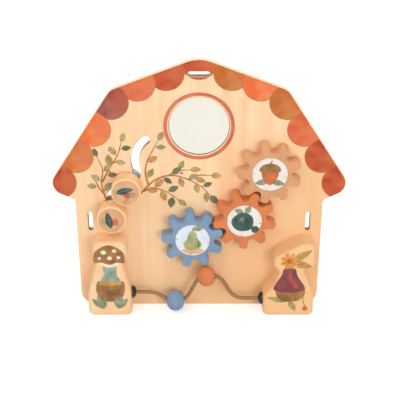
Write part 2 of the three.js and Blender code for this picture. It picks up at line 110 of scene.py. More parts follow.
DISC_RADIUS = 18
DISC_BACK = 1.4
DISC_FRONT = 22.4
DISC_ROUND = 2
DISC_RIM = 0.4                # ring of the face next to the round
UPPER_DISC_PLACE = math.radians(-67.4)
WASHER_RADIUS = 18.2
WASHER_THICKNESS = 4
WASHER_BORE = 4.9
WASHER_EDGE = 1

BLOCK_FRONT = 27.75
BLOCK_EDGE = 4.8
# Blocks: middle, width and height, then corners as shares: across and round of the
# width, above of the height
LEFT_BLOCK = (-111.1, 54.2, 104)
LEFT_BLOCK_SHARES = [
    (-0.5, 0, 0.13), (0.5, 0, 0.12), (0.5, 0.31, 0.37), (0.338, 0.675, 0.09),
    (0.426, 0.81, 0.22), (0.42, 1, 0.185), (-0.327, 1, 0.185), (-0.345, 0.81, 0.22),
    (-0.305, 0.675, 0.15), (-0.5, 0.27, 0.37),
]
RIGHT_BLOCK = (111, 63, 101.5)
RIGHT_BLOCK_SHARES = [
    (-0.5, 0, 0.1), (0.5, 0, 0.1), (0.5, 0.276, 0.22), (0.261, 0.655, 0.055),
    (0.481, 0.655, 0.1), (0.481, 1, 0.15), (0.229, 1, 0.2), (-0.325, 0.804, 0.16),
    (-0.315, 0.69, 0.12), (-0.199, 0.61, 0.045), (-0.292, 0.44, 0.24), (-0.5, 0.266, 0.13),
]
BLOCK_SCREW_SHARES = (0.24, 0.8)

WIRE_RADIUS = 2.4
WIRE_DEPTH = 15
WIRE_ENTRY = 7
WIRE_CORNERS = [              # x, height and round
    (-55, 27.5, 30), (-22.5, 4.1, 19), (11.9, 74.8, 20), (44.2, 18.4, 20),
]
WIRE_LEFT_HEIGHT = 27.5
WIRE_RIGHT_HEIGHT = 18.4
DOME_RADIUS = 8
DOME_HEIGHT = 5
DOME_SPIGOT = (4.5, 8)        # radius and length inside the block
BEAD_RADIUS = 13
BEAD_LENGTH = 21
BEAD_BORE = 4.4
BEAD_FLARE = 1.8
BEAD_STEPS = 28
DIP_BEAD_REACH = 17.7
HILL_BEAD_REACH = 18.8
HILL_BEAD_PLACE = math.radians(104)

SCREW_HEAD_RADIUS = 4.5
SCREW_HEAD_THICKNESS = 2.6
SCREW_HEAD_EDGE = 1
SCREW_RADIUS = 2
SCREW_POINT = 2
AXLE_SCREW_REACH = 7          # depths of the tips of the screws
BLOCK_SCREW_REACH = 16
SLIDER_SCREW_REACH = 13
CROSS_LENGTH = 4.6
CROSS_WIDTH = 1
CROSS_DEPTH = 1.2
CROSS_TAPER_SHARE = 0.7

# Fineness of curves
ARC_STEP = math.radians(3)
TIP_STEP = math.radians(12)
EDGE_STEPS = 5
BLOCK_EDGE_STEPS = 8
SMOOTH_STEPS = 8
RIM_SHARE = 1.3               # where the flat of a face starts, in eased edges
ROUND_SIDES = 96
SMALL_SIDES = 40
WIDE_BORE = 15                # radius from which a bore gets ROUND_SIDES
WIRE_SIDES = 20
DOME_SIDES = 64
DOME_STEPS = 10
REPEAT_GAP = 0.01             # points closer than this are one
WELD = 1e-7                   # the same in a finished mesh, in metres
CREASE = math.radians(40)     # edges bent further than this stay sharp
SHARPEST_SHARE = 0.4          # keeps an inset corner from running off

# Outlines


def polar(radius, angle):
    return Vector((radius * math.cos(angle), radius * math.sin(angle)))


def left_of(way):
    return Vector((-way.y, way.x))


def arc(centre, radius, start, end, step=ARC_STEP):
    """Points of a circular arc, both ends included."""
    count = max(1, math.ceil(abs(end - start) / step))
    return [Vector(centre) + polar(radius, start + (end - start) * i / count)
            for i in range(count + 1)]


def corner_round(before, corner, after, radius):
    """The centre and both tangent points of the round at one corner."""
    back = (before - corner).normalized()
    ahead = (after - corner).normalized()
    half = back.angle(ahead) / 2
    centre = corner + (back + ahead).normalized() * radius / math.sin(half)
    reach = radius / math.tan(half)
    return centre, corner + back * reach, corner + ahead * reach


def rounded(corners, closed=True, step=ARC_STEP):
    """Line through corners of (x, z, round), each bent to an arc."""
    places = [Vector(corner[:2]) for corner in corners]
    points = []
    for i, corner in enumerate(corners):
        radius = corner[2] if len(corner) > 2 else 0
        if not radius:
            points.append(places[i])
            continue
        centre, start, end = corner_round(
            places[i - 1], places[i], places[(i + 1) % len(places)], radius)
        begin = math.atan2(*reversed(start - centre))
        sweep = math.atan2(*reversed(end - centre)) - begin
        sweep = (sweep + math.pi) % TURN - math.pi
        points += arc(centre, radius, begin, begin + sweep, step)
    return without_repeats(points, closed)


def without_repeats(points, closed=True):
    return [p for i, p in enumerate(points)
            if (p - points[i - 1]).length > REPEAT_GAP or (i == 0 and not closed)]


def circle(centre, radius, sides=ROUND_SIDES):
    return [Vector(centre) + polar(radius, TURN * i / sides) for i in range(sides)]


def turned_left(loop):
    """The loop in the order that keeps its inside on the left."""
    area = sum(loop[i - 1].cross(p) for i, p in enumerate(loop)) / 2
    return loop if area > 0 else loop[::-1]


def inset(loop, distance):
    """Every point moved to the left of the loop, its sides kept parallel."""
    moved = []
    for i, here in enumerate(loop):
        side = left_of((here - loop[i - 1]).normalized())
        next_side = left_of((loop[(i + 1) % len(loop)] - here).normalized())
        middle = (side + next_side).normalized()
        moved.append(here + middle * distance / max(middle.dot(side), SHARPEST_SHARE))
    return moved


def smooth(points, closed=True, steps=SMOOTH_STEPS):
    """Smooth line through a few chosen points."""
    points = [Vector(p) for p in points]
    count = len(points)
    line = []
    for i in range(count if closed else count - 1):
        a, b, c, d = (points[k % count if closed else min(max(k, 0), count - 1)]
                      for k in (i - 1, i, i + 1, i + 2))
        for t in (j / steps for j in range(steps)):
            line.append(0.5 * (2 * b + (c - a) * t + (2 * a - 5 * b + 4 * c - d) * t * t
                               + (3 * b - a - 3 * c + d) * t ** 3))
    return line if closed else line + [points[-1]]


def sideways(line, i):
    """The way to the left of an open line at its point i."""
    return left_of((line[min(i + 1, len(line) - 1)] - line[max(i - 1, 0)]).normalized())


# Solids

STANDING = Matrix(((1, 0, 0, 0), (0, 0, -1, 0), (0, 1, 0, 0), (0, 0, 0, 1)))
ALONG = Matrix(((0, 0, 1, 0), (1, 0, 0, 0), (0, 1, 0, 0), (0, 0, 0, 1)))


def placed(x, z, depth, way):
    return Matrix.Translation((x * MM, FACE_Y - depth * MM, z * MM)) @ way @ Matrix.Scale(MM, 4)


def standing(x=0, z=0, depth=0, roll=0):
    """Places a shape drawn in (x, z, depth), turned by roll in the board's plane."""
    return placed(x, z, depth, STANDING @ Matrix.Rotation(roll, 4, "Z"))


def along_board(x, z, depth, turn=0):
    """Places a turned shape with its axis in the board's plane, at an angle to x."""
    return placed(x, z, depth, Matrix.Rotation(-turn, 4, "Y") @ ALONG)


def in_scene(name, data):
    made = bpy.data.objects.new(name, data)
    bpy.context.scene.collection.objects.link(made)
    return made


class Form:
    """Points and faces of one closed mesh, gathered ring by ring."""

    def __init__(self):
        self.points = []
        self.faces = []

    def ring(self, points, depth=None):
        """Adds points, flat ones at a depth, and gives their numbers."""
        start = len(self.points)
        self.points += points if depth is None else [Vector((*p, depth)) for p in points]
        return range(start, len(self.points))

    def rounds(self, centre, pairs, sides):
        """A round ring for each (radius, depth) pair, or one point where the radius is 0."""
        return [self.ring(circle(centre, radius, sides if radius else 1), depth)
                for radius, depth in pairs]

    def skin(self, *rings):
        """Faces from each ring to the next, which may be a single point."""
        for lower, upper in zip(rings, rings[1:]):
            for i in range(max(len(lower), len(upper))):
                corners = [ring[k % len(ring)] for ring, k in (
                    (lower, i - 1), (lower, i), (upper, i), (upper, i - 1))]
                self.faces.append(tuple(dict.fromkeys(corners)))

    def cap(self, *rings):
        """Flat face inside the first ring, with the others as holes."""
        index = [k for ring in rings for k in ring]
        flat = [[self.points[k].xy.to_3d() for k in ring] for ring in rings]
        self.faces += [tuple(index[k] for k in corners) for corners in tessellate_polygon(flat)]

    def add(self, other):
        start = len(self.points)
        self.points += other.points
        self.faces += [tuple(i + start for i in face) for face in other.faces]

    def build(self, name, slot, node=None, body="house", place=None, look=None):
        """Makes the piece that replaces a CAD node, in the look of its slot or its own."""
        mesh = bpy.data.meshes.new(name)
        mesh.from_pydata([(place or standing()) @ p for p in self.points], [], self.faces)
        work = bmesh.new()
        work.from_mesh(mesh)
        bmesh.ops.remove_doubles(work, verts=work.verts, dist=WELD)
        bmesh.ops.recalc_face_normals(work, faces=work.faces)
        work.to_mesh(mesh)
        work.free()
        mesh.shade_smooth()
        mesh.set_sharp_from_angle(angle=CREASE)
        mesh.materials.append(look or looks[slot])
        piece = in_scene(name, mesh)
        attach(piece, body)
        if node:
            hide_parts(node)


def eased(edge, steps=EDGE_STEPS):
    """(inset, depth under the face) pairs of an eased edge, from the side to the face."""
    if not edge:
        return [(0, 0)]
    turns = [math.pi / 2 * i / steps for i in range(steps + 1)]
    pairs = [(edge * (1 - math.cos(a)), edge * (1 - math.sin(a))) for a in turns]
    return pairs + [(RIM_SHARE * edge, 0)]


def slab(outline, back, front, edge, holes=(), bores=(), back_edge=None, steps=EDGE_STEPS):
    """Slab with eased edges. A hole has the slab's own edge; a bore is a centre
    and its (radius, depth) pairs, from the back if it starts there."""
    form = Form()
    back_pairs = eased(edge if back_edge is None else back_edge, steps)
    profile = [(shift, back + drop) for shift, drop in reversed(back_pairs)]
    profile += [(shift, front - drop) for shift, drop in eased(edge, steps)]
    ends = {back: [], front: []}
    for loop in [turned_left(outline)] + [turned_left(hole)[::-1] for hole in holes]:
        rings = [form.ring(inset(loop, shift) if shift else loop, depth) for shift, depth in profile]
        form.skin(*rings)
        ends[back].append(rings[0])
        ends[front].append(rings[-1])
    for centre, pairs in bores:
        rings = form.rounds(centre, pairs, SMALL_SIDES if max(pairs)[0] < WIDE_BORE else ROUND_SIDES)
        form.skin(*rings)
        for ring, (_, depth) in ((rings[0], pairs[0]), (rings[-1], pairs[-1])):
            if depth in ends:
                ends[depth].append(ring)
            else:
                form.faces.append(tuple(ring))
    form.cap(*ends[back])
    form.cap(*ends[front])
    return form


def turned(profile, sides=ROUND_SIDES):
    """Turned form of (radius, height) pairs; radius 0 closes an end on the axis,
    and a profile with no such end is closed onto itself."""
    form = Form()
    rings = form.rounds((0, 0), profile, sides)
    form.skin(*rings)
    if profile[0][0] and profile[-1][0]:
        form.skin(rings[-1], rings[0])
    return form


def swept(path, radius):
    """Round bar along a path in the board's plane, its section kept square to it."""
    form = Form()
    rings = []
    for i, here in enumerate(path):
        side = sideways(path, i).to_3d()
        rings.append(form.ring([here.to_3d() + side * p.x + Vector((0, 0, p.y))
                                for p in circle((0, 0), radius, WIRE_SIDES)]))
    form.skin(*rings)
    form.faces += [tuple(rings[0]), tuple(rings[-1])]
    return form


# Materials

WHITE = (1, 1, 1, 1)


def srgb(red, green, blue):
    """A colour given in 0-255 screen values, as the shader's linear colour."""
    linear = [(c / 255 / 12.92) if c <= 10 else ((c / 255 + 0.055) / 1.055) ** 2.4
              for c in (red, green, blue)]
    return (*linear, 1)


class Paint:
    """Builds the nodes of one material, or of the world."""

    def __init__(self, name, group=bpy.data.materials):
        self.owner = group.new(name)
        self.owner.use_nodes = True
        self.tree = self.owner.node_tree
        self.tree.nodes.clear()

    def node(self, kind, values=None, **settings):
        made = self.tree.nodes.new(f"ShaderNode{kind}")
        for key, value in settings.items():
            setattr(made, key, value)
        for key, value in (values or {}).items():
            if isinstance(value, bpy.types.NodeSocket):
                self.tree.links.new(value, made.inputs[key])
            else:
                made.inputs[key].default_value = value
        return made

    def signal(self, kind, values, **settings):
        """The first output of a new node."""
        return self.node(kind, values, **settings).outputs[0]

    def place(self, offset=(0, 0, 0), stretch=(1, 1, 1)):
        """Position in the drawing's millimetres, moved and stretched."""
        return self.signal("VectorMath", {
            0: self.node("TexCoord").outputs["Object"], 1: [s / MM for s in stretch],
            2: [-o * s for o, s in zip(offset, stretch)]}, operation="MULTIPLY_ADD")

    def noise(self, vector, size, detail=3, roughness=0.55, distortion=0):
        """Noise whose features are about size millimetres wide."""
        return self.signal("TexNoise", {
            "Vector": vector, "Scale": 1 / size, "Detail": detail,
            "Roughness": roughness, "Distortion": distortion})

    def math(self, operation, a, b=0.0, c=0.0):
        return self.signal("Math", {0: a, 1: b, 2: c}, operation=operation)

    def weighted(self, *parts, start=0.0):
        """Sum of signals, each times its share."""
        for value, share in parts:
            start = self.math("MULTIPLY_ADD", value, share, start)
        return start

    def span(self, value, low, high, start=0.0, end=1.0):
        """Soft step from start to end while the value goes from low to high."""
        values = {"Value": value, "From Min": low, "From Max": high, "To Min": start, "To Max": end}
        return self.signal("MapRange", values, clamp=True, interpolation_type="SMOOTHSTEP")

    def mix(self, factor, a, b):
        """Mix of two colours, each a signal or 0-255 screen values."""
        a, b = (srgb(*c) if isinstance(c, tuple) else c for c in (a, b))
        return self.node("Mix", {0: factor, 6: a, 7: b}, data_type="RGBA").outputs[2]

    def length(self, vector):
        return self.node("VectorMath", {0: vector}, operation="LENGTH").outputs["Value"]

    def axes(self, vector):
        return self.node("SeparateXYZ", {0: vector}).outputs

    def facing(self):
        """1 on faces towards the child or the back, 0 on sides square to them."""
        normal = self.axes(self.node("NewGeometry").outputs["Normal"])
        return self.math("ABSOLUTE", normal[1])

    def rays(self):
        """1 for rays from the camera, and 1 for rays from a mirror or through glass."""
        path = self.node("LightPath").outputs
        mirrored = self.math("MAXIMUM", path["Is Glossy Ray"], path["Is Transmission Ray"])
        return path["Is Camera Ray"], mirrored

    def glow(self, strength):
        return self.signal("Emission", {"Color": WHITE, "Strength": strength})

    def blend(self, factor, a, b):
        """Mix of two shaders."""
        return self.signal("MixShader", {0: factor, 1: a, 2: b})

    def bump(self, height, distance, strength):
        return self.signal("Bump", {"Height": height, "Distance": distance * MM, "Strength": strength})

    def finish(self, shader, kind="OutputMaterial"):
        self.node(kind, {"Surface": shader})
        return self.owner

    def surface(self, colour, roughness, normal, **extra):
        values = {"Base Color": colour, "Roughness": roughness, "Normal": normal}
        values |= {key.replace("_", " "): value for key, value in extra.items()}
        return self.finish(self.signal("BsdfPrincipled", values))


# Noises: size in millimetres, detail, roughness and distortion
BROAD_GRAIN = (16, 2, 0.45, 0.6)
GRAIN_BANDS = (5, 3, 0.5, 0.3)
GRAIN_FIBRES = (0.8, 2, 0.5)
GRAIN_CLOUDS = (70, 2, 0.5)
PLIES = (1.1, 1, 0.3)
PAINTED_GRAIN = (2.6, 3, 0.5, 0.2)
PAINTED_FIBRES = (0.6, 2)
BLOTCHES = (20, 2, 0.5)
MOTTLE = (4, 3, 0.6)
PAPER_GRAINS = (0.5, 2, 0.7)
BRISTLES = (1.5, 3, 0.7)
WASH_BLOOM = (9, 1, 0.4, 0.3)
WASH_MOTTLE = (1.6, 3, 0.6)

UPRIGHT_GRAIN = (1, 1, 0.045)
UPRIGHT_FIBRES = (1, 1, 0.02)
# Painted shade: the wood is mixed towards a deeper, warmer colour towards the lower right of the toy,
# standing for light that falls off there
SHADE_WAY = (0.75, -0.65)      # towards the lower right
SHADE_SPAN = (-130, 40)
SHADE_SHARE = 0.7
# The painted shade on the walls of slots and holes fades in over this span
HOLE_SHADE_SPAN = (5, 7)             # from the board's outline in to its slots
PAINT_GLOSS = 0.2
PAINT_ROUGHNESS = 0.68
RIM_LINE = 1.2                # width of a wash's dried edge


def hole_walls(paint, x, z):
    """1 on the upright walls of slots and holes, well inside the outline of the board: where painted
    shade goes.
    """
    across = paint.math("ABSOLUTE", x)
    inward = z
    for (x0, z0, _), (x1, z1, _) in ((WALL_FOOT, WALL_TOP), (EAVE, SHOULDER), (SHOULDER, RIDGE)):
        along = Vector((x1 - x0, z1 - z0)).normalized()
        depth = paint.weighted((across, -along.y), (z, along.x), start=along.y * x0 - along.x * z0)
        inward = paint.math("MINIMUM", inward, depth)
    upright = paint.span(paint.facing(), 0.4, 0.7, 1, 0)
    return paint.math("MULTIPLY", upright, paint.span(inward, *HOLE_SHADE_SPAN))


def wood_look(name, light, dark, shade_tone, offset, core_and_highlight=None, hole_shade=None):
    """Pale close-grained wood with upright grain, and painted shade that makes it
    deeper and warmer towards the lower right of the toy. Given two more colours,
    it has pale plywood edges, made paler still as a painted highlight, and walls
    of slots and holes darkened as painted shade."""
    paint = Paint(name)
    grain_place = paint.place(offset, UPRIGHT_GRAIN)
    bands = paint.noise(grain_place, *GRAIN_BANDS)
    fibres = paint.noise(paint.place(offset, UPRIGHT_FIBRES), *GRAIN_FIBRES)
    clouds = paint.noise(paint.place(offset), *GRAIN_CLOUDS)
    tone = paint.weighted((paint.noise(grain_place, *BROAD_GRAIN), 0.46), (bands, 0.16),
                          (fibres, 0.06), (clouds, 0.32))
    colour = paint.mix(paint.span(tone, 0.36, 0.66), light, dark)
    x, y, z = paint.axes(paint.place())
    # Painted shade, growing towards the lower right
    towards_shade = paint.weighted((x, SHADE_WAY[0]), (z, SHADE_WAY[1]))
    colour = paint.mix(paint.span(towards_shade, *SHADE_SPAN, 0, SHADE_SHARE), colour, shade_tone)
    if core_and_highlight:
        # Plywood edges in pale plies: partly the ply's own colour and partly a painted highlight, paler
        # so that the top edges read as lit from above
        half = BOARD_THICKNESS / 2
        middle = paint.math("ABSOLUTE", paint.math("SUBTRACT", y, FACE_Y / MM + half))
        plies = paint.noise(paint.place(offset, (0.02, 1, 0.02)), *PLIES)
        ply_tone = paint.mix(paint.span(plies, 0.42, 0.6, 0, 0.6), core_and_highlight, light)
        colour = paint.mix(paint.span(middle, half - 1.1, half - 0.5, 1, 0), colour, ply_tone)
        # Painted shade: the walls of slots, holes and the mirror pocket are darkened, standing for the
        # shade inside them
        colour = paint.mix(hole_walls(paint, x, z), colour, hole_shade)
    height = paint.weighted((fibres, 0.5), (bands, 0.3))
    return paint.surface(colour, paint.span(tone, 0.3, 0.8, 0.52, 0.62), paint.bump(height, 0.06, 0.35))


def painted_wood_look(name, light, dark, lit_side_and_edge):
    """Matt paint rubbed into wood, the grain faintly seen, paler on the sides as painted light from
    above, and paler on sharp outer edges.
    """
    paint = Paint(name)
    grain = paint.noise(paint.place(stretch=(1, 1, 0.06)), *PAINTED_GRAIN)
    blotch = paint.noise(paint.place(), *BLOTCHES)
    fibres = paint.noise(paint.place(stretch=(1, 1, 0.03)), *PAINTED_FIBRES)
    colour = paint.mix(paint.span(paint.weighted((blotch, 0.6), (grain, 0.4)), 0.34, 0.68), dark, light)
    # Painted light: the sides of teeth and beads are made paler, standing for light from above
    colour = paint.mix(paint.span(paint.facing(), 0.35, 0.8, 0.42, 0), colour, lit_side_and_edge)
    # Paler also on sharp outer edges, where the pointiness is high
    rim = paint.node("NewGeometry").outputs["Pointiness"]
    colour = paint.mix(paint.span(rim, 0.54, 0.66, 0, 0.25), colour, lit_side_and_edge)
    height = paint.weighted((fibres, 0.5), (grain, 0.5))
    return paint.surface(colour, paint.span(blotch, 0.3, 0.7, 0.5, 0.62), paint.bump(height, 0.05, 0.3))


def watercolour(name, pale, deep, accent, rim, centre, radius, flow=0.0, wash=20, outward=None):
    """Printed watercolour: a wash that deepens along flow, one soft bloom, dry
    brush marks and a darker dried edge, which leaves the outward side free."""
    paint = Paint(name)
    x, z = centre
    place = paint.place((x, 0, z))
    flat = paint.place((x, 0, z), (1, 0, 1))
    bloom = paint.noise(place, wash, 1.5, 0.45, 0.4)
    second = paint.noise(paint.place((x + 40, 30, z - 20)), wash * 0.9, 1, 0.4)
    bristles = paint.noise(paint.place((x - 15, 7, z), (0.4, 1, 1)), *BRISTLES)
    grains = paint.noise(place, *PAPER_GRAINS)
    x, _, z = paint.axes(flat)
    slope = paint.weighted((x, math.cos(flow) / radius), (z, math.sin(flow) / radius))
    tone = paint.weighted((slope, 0.34), (bloom, 1), (paint.noise(place, *MOTTLE), 0.36))
    colour = paint.mix(paint.span(tone, 0.48, 0.88), pale, deep)
    colour = paint.mix(paint.span(second, 0.42, 0.6, 0, 0.8), colour, accent)
    colour = paint.mix(paint.span(grains, 0.45, 0.75, 0, 0.1), colour, rim)
    if outward:
        ahead = paint.weighted((x, outward.x), (z, outward.y))
        across = paint.weighted((x, outward.y), (z, -outward.x))
        flat = paint.signal("CombineXYZ", {"X": paint.math("MINIMUM", ahead, 0.0), "Y": across})
    reach = paint.length(flat)
    near = paint.span(reach, 0.45 * radius, radius - 1.5, 0.12, 0.6)
    colour = paint.mix(paint.math("MULTIPLY", paint.span(bristles, 0.46, 0.66), near), colour, pale)
    colour = paint.mix(paint.span(reach, radius - RIM_LINE, radius - RIM_LINE / 3, 0, 0.8), colour, rim)
    return paint.surface(colour, PAINT_ROUGHNESS, paint.bump(grains, 0.02, 0.4),
                         Specular_IOR_Level=PAINT_GLOSS)


def wash_look(name, pale, deep):
    """Small patch of printed watercolour in two tones."""
    paint = Paint(name)
    mottle = paint.noise(paint.place(), *WASH_MOTTLE)
    tone = paint.weighted((mottle, 0.25), (paint.noise(paint.place(), *WASH_BLOOM), 0.75))
    return paint.surface(paint.mix(paint.span(tone, 0.24, 0.76), pale, deep), PAINT_ROUGHNESS,
                         paint.bump(mottle, 0.02, 0.3), Specular_IOR_Level=PAINT_GLOSS)


def moulded_look(name, base, second, roughness, size, bump=0.02, metallic=0.0):
    """Moulded plastic, coating or metal with a faint mottle and fine texture."""
    paint = Paint(name)
    mottle = paint.noise(paint.place(), size, 3, 0.6)
    fine = paint.noise(paint.place(), size * 0.14, 2)
    rough = paint.span(mottle, 0.3, 0.7, roughness * 0.85, roughness * 1.15)
    return paint.surface(paint.mix(paint.span(mottle, 0.3, 0.7), base, second), rough,
                         paint.bump(fine, bump, 0.4), Metallic=metallic)


looks = {slot: look(slot, *values) for look, slot, *values in (
    # Each wood's third colour is its painted shade towards the lower right; the board's ply edge colour
    # is partly a painted highlight, and its last colour is painted shade on the walls of slots and holes
    (wood_look, "board_wood", (252, 217, 176), (243, 198, 153), (240, 187, 130), (0, 0, 0),
     (255, 244, 222), (150, 118, 92)),
    (wood_look, "block_wood", (254, 217, 171), (248, 202, 152), (240, 189, 132), (37, 11, 5)),
    (wood_look, "disc_wood", (254, 216, 164), (250, 203, 148), (242, 192, 136), (71, 3, 19)),
    # Third colour of each paint: its sides made paler as painted light from above, and its sharp outer
    # edges paler
    (painted_wood_look, "blue_paint", (128, 156, 188), (115, 144, 176), (146, 176, 208)),
    (painted_wood_look, "orange_paint", (220, 131, 78), (210, 118, 64), (244, 154, 94)),
    (painted_wood_look, "tan_paint", (220, 161, 115), (209, 148, 103), (250, 198, 148)),
    (moulded_look, "white_paint", (244, 242, 240), (238, 237, 236), 0.5, 20),
    (moulded_look, "wire_coat", (166, 121, 74), (146, 102, 58), 0.4, 3),
    (moulded_look, "black_plastic", (30, 24, 22), (20, 16, 15), 0.22, 2, 0.01),
    (moulded_look, "pale_plastic", (240, 238, 235), (230, 227, 223), 0.5, 4),
    (moulded_look, "screw_steel", (198, 200, 204), (176, 178, 182), 0.32, 1.5, 0.01, 1.0),
    (moulded_look, "mirror", (247, 242, 230), (244, 239, 227), 0.05, 40, 0.0, 1.0),
)}

# Board

half_house = [WALL_FOOT, WALL_TOP, EAVE, SHOULDER]
house_corners = half_house + [RIDGE] + [(-x, z, r) for x, z, r in reversed(half_house)]
house_outline = rounded(house_corners)
upper_arc = MIDDLE_ARC + polar(MIDDLE_ARC_RADIUS + UPPER_ARC_RADIUS, UPPER_BEND)
lower_arc = MIDDLE_ARC + polar(MIDDLE_ARC_RADIUS + LOWER_ARC_RADIUS, LOWER_BEND)
upper_disc = MIDDLE_ARC + polar(MIDDLE_ARC_RADIUS, UPPER_DISC_PLACE)
lower_disc = lower_arc + polar(LOWER_ARC_RADIUS, LOWER_ARC_END)

SLOT_ARCS = [
    # centre, radius, start and end, and 1 or -1 as moving sideways widens or narrows it
    (upper_arc, UPPER_ARC_RADIUS, UPPER_ARC_END, UPPER_BEND + math.pi, 1),
    (MIDDLE_ARC, MIDDLE_ARC_RADIUS, UPPER_BEND, LOWER_BEND, -1),
    (lower_arc, LOWER_ARC_RADIUS, LOWER_BEND + math.pi, LOWER_ARC_END, 1),
]


def slot_line(shift):
    """The middle line of the S-shaped slot, moved sideways."""
    return [p for centre, radius, start, end, side in SLOT_ARCS
            for p in arc(centre, radius + side * shift, start, end)]


def slider_slot():
    """The S-shaped slot: three tangent arcs widened to both sides."""
    half = SLOT_WIDTH / 2
    upper_end = upper_arc + polar(UPPER_ARC_RADIUS, UPPER_ARC_END)
    lower_round = arc(lower_disc, half, LOWER_ARC_END, LOWER_ARC_END + math.pi, TIP_STEP)
    upper_round = arc(upper_end, half, UPPER_ARC_END - math.pi, UPPER_ARC_END, TIP_STEP)
    return without_repeats(slot_line(half) + lower_round + slot_line(-half)[::-1] + upper_round)


def strap_slot(x, z, width, height):
    return rounded([(x + across * width, z + above * height, min(width, height) / 2)
                    for across, above in ((-0.5, -0.5), (0.5, -0.5), (0.5, 0.5), (-0.5, 0.5))],
                   step=TIP_STEP)


ridge_slot = strap_slot(0, RIDGE_SLOT_HEIGHT, *STRAP_SLOT)
wall_slots = [strap_slot(side * WALL_SLOT[0], WALL_SLOT[1], *reversed(STRAP_SLOT)) for side in (-1, 1)]

low_gear = MIDDLE_GEAR + polar(2 * PITCH_RADIUS, LOW_GEAR_DIRECTION)
high_gear = MIDDLE_GEAR + polar(2 * PITCH_RADIUS, HIGH_GEAR_DIRECTION)
tooth_angle = TURN / TEETH
middle_phase = 2 * LOW_GEAR_DIRECTION + math.pi + tooth_angle / 2 - LOW_GEAR_PHASE
high_phase = 2 * HIGH_GEAR_DIRECTION + math.pi + tooth_angle / 2 - middle_phase

gears = {
    "blue": (low_gear, LOW_GEAR_PHASE), "orange": (MIDDLE_GEAR, middle_phase),
    "tan": (high_gear, high_phase),
}
blocks = {"left": (LEFT_BLOCK, LEFT_BLOCK_SHARES), "right": (RIGHT_BLOCK, RIGHT_BLOCK_SHARES)}
screw_places = [(x, share * height) for (x, _, height), _ in blocks.values()
                for share in BLOCK_SCREW_SHARES]
axle_places = [place for place, _ in gears.values()]
head_floor = SCREW_HEAD_THICKNESS + SEAT - BOARD_THICKNESS
mirror_centre = (0, MIRROR_HEIGHT)
head_pocket = SCREW_HEAD_RADIUS + SEAT
mirror_pocket = [(MIRROR_POCKET_RADIUS, 0), (MIRROR_POCKET_RADIUS, -MIRROR_POCKET_DEPTH)]
board_bores = [(mirror_centre, mirror_pocket)]
for places, bore in ((axle_places, AXLE_SPIGOT_BORE), (screw_places, SCREW_RADIUS + SEAT)):
    pairs = [(head_pocket, -BOARD_THICKNESS), (head_pocket, head_floor), (bore, head_floor), (bore, 0)]
    board_bores += [(place, pairs) for place in places]
board_holes = [ridge_slot, *wall_slots, slider_slot()]
slab(house_outline, -BOARD_THICKNESS, 0, BOARD_EDGE, board_holes, board_bores).build(
    "board", "board_wood", "panel")

mirror_radius = MIRROR_POCKET_RADIUS - SEAT
mirror_front = MIRROR_THICKNESS - MIRROR_POCKET_DEPTH
mirror_profile = [
    (0, -MIRROR_POCKET_DEPTH), (mirror_radius, -MIRROR_POCKET_DEPTH),
    (mirror_radius, mirror_front - MIRROR_BEVEL), (mirror_radius - MIRROR_BEVEL, mirror_front),
    (mirror_radius - 2 * MIRROR_BEVEL, mirror_front), (0, mirror_front),
]
turned(mirror_profile).build("mirror_plate", "mirror", "mirror", place=standing(*mirror_centre))

# Gears


def gear_outline():
    """Two rounds at each tip and a round valley, joined by the lines that touch both."""
    tip = TIP_RADIUS - TIP_ROUND
    crown = math.asin(TIP_HALF_FLAT / tip)
    valley = ROOT_RADIUS + VALLEY_ROUND
    between = polar(valley, tooth_angle / 2) - polar(tip, crown)
    flank = math.atan2(between.y, between.x) - math.acos((TIP_ROUND + VALLEY_ROUND) / between.length)
    points = []
    for i in range(TEETH):
        turn = i * tooth_angle
        points += arc(polar(tip, turn - crown), TIP_ROUND, turn - flank, turn - crown, TIP_STEP)
        points += arc(polar(tip, turn + crown), TIP_ROUND, turn + crown, turn + flank, TIP_STEP)
        points += arc(polar(valley, turn + tooth_angle / 2), VALLEY_ROUND, turn + flank + math.pi,
                      turn + tooth_angle - flank - math.pi + TURN, TIP_STEP)
    return without_repeats(points)


cap_back = GEAR_FRONT - CAP_THICKNESS
cap_floor = cap_back - SEAT
gear_bore = [
    (JOURNAL_BORE, GEAR_BACK), (JOURNAL_BORE, HEAD_FLOOR), (HEAD_BORE, HEAD_FLOOR),
    (HEAD_BORE, cap_floor), (CAP_RADIUS + SEAT, cap_floor), (CAP_RADIUS + SEAT, GEAR_FRONT),
]
cap_profile = [
    (0, cap_back), (CAP_RADIUS, cap_back), (CAP_RADIUS, GEAR_FRONT - CAP_EDGE),
    (CAP_RADIUS - CAP_EDGE, GEAR_FRONT), (0, GEAR_FRONT),
]
for colour, (place, phase) in gears.items():
    slab(gear_outline(), GEAR_BACK, GEAR_FRONT, GEAR_EDGE, bores=[((0, 0), gear_bore)]).build(
        f"{colour}_gear_wheel", f"{colour}_paint", f"gear_{colour}", f"{colour}_gear",
        standing(*place, roll=phase))
    turned(cap_profile).build(
        f"{colour}_gear_cap", "white_paint", f"gear_cap_{colour}", f"{colour}_gear", standing(*place))

# Sliders

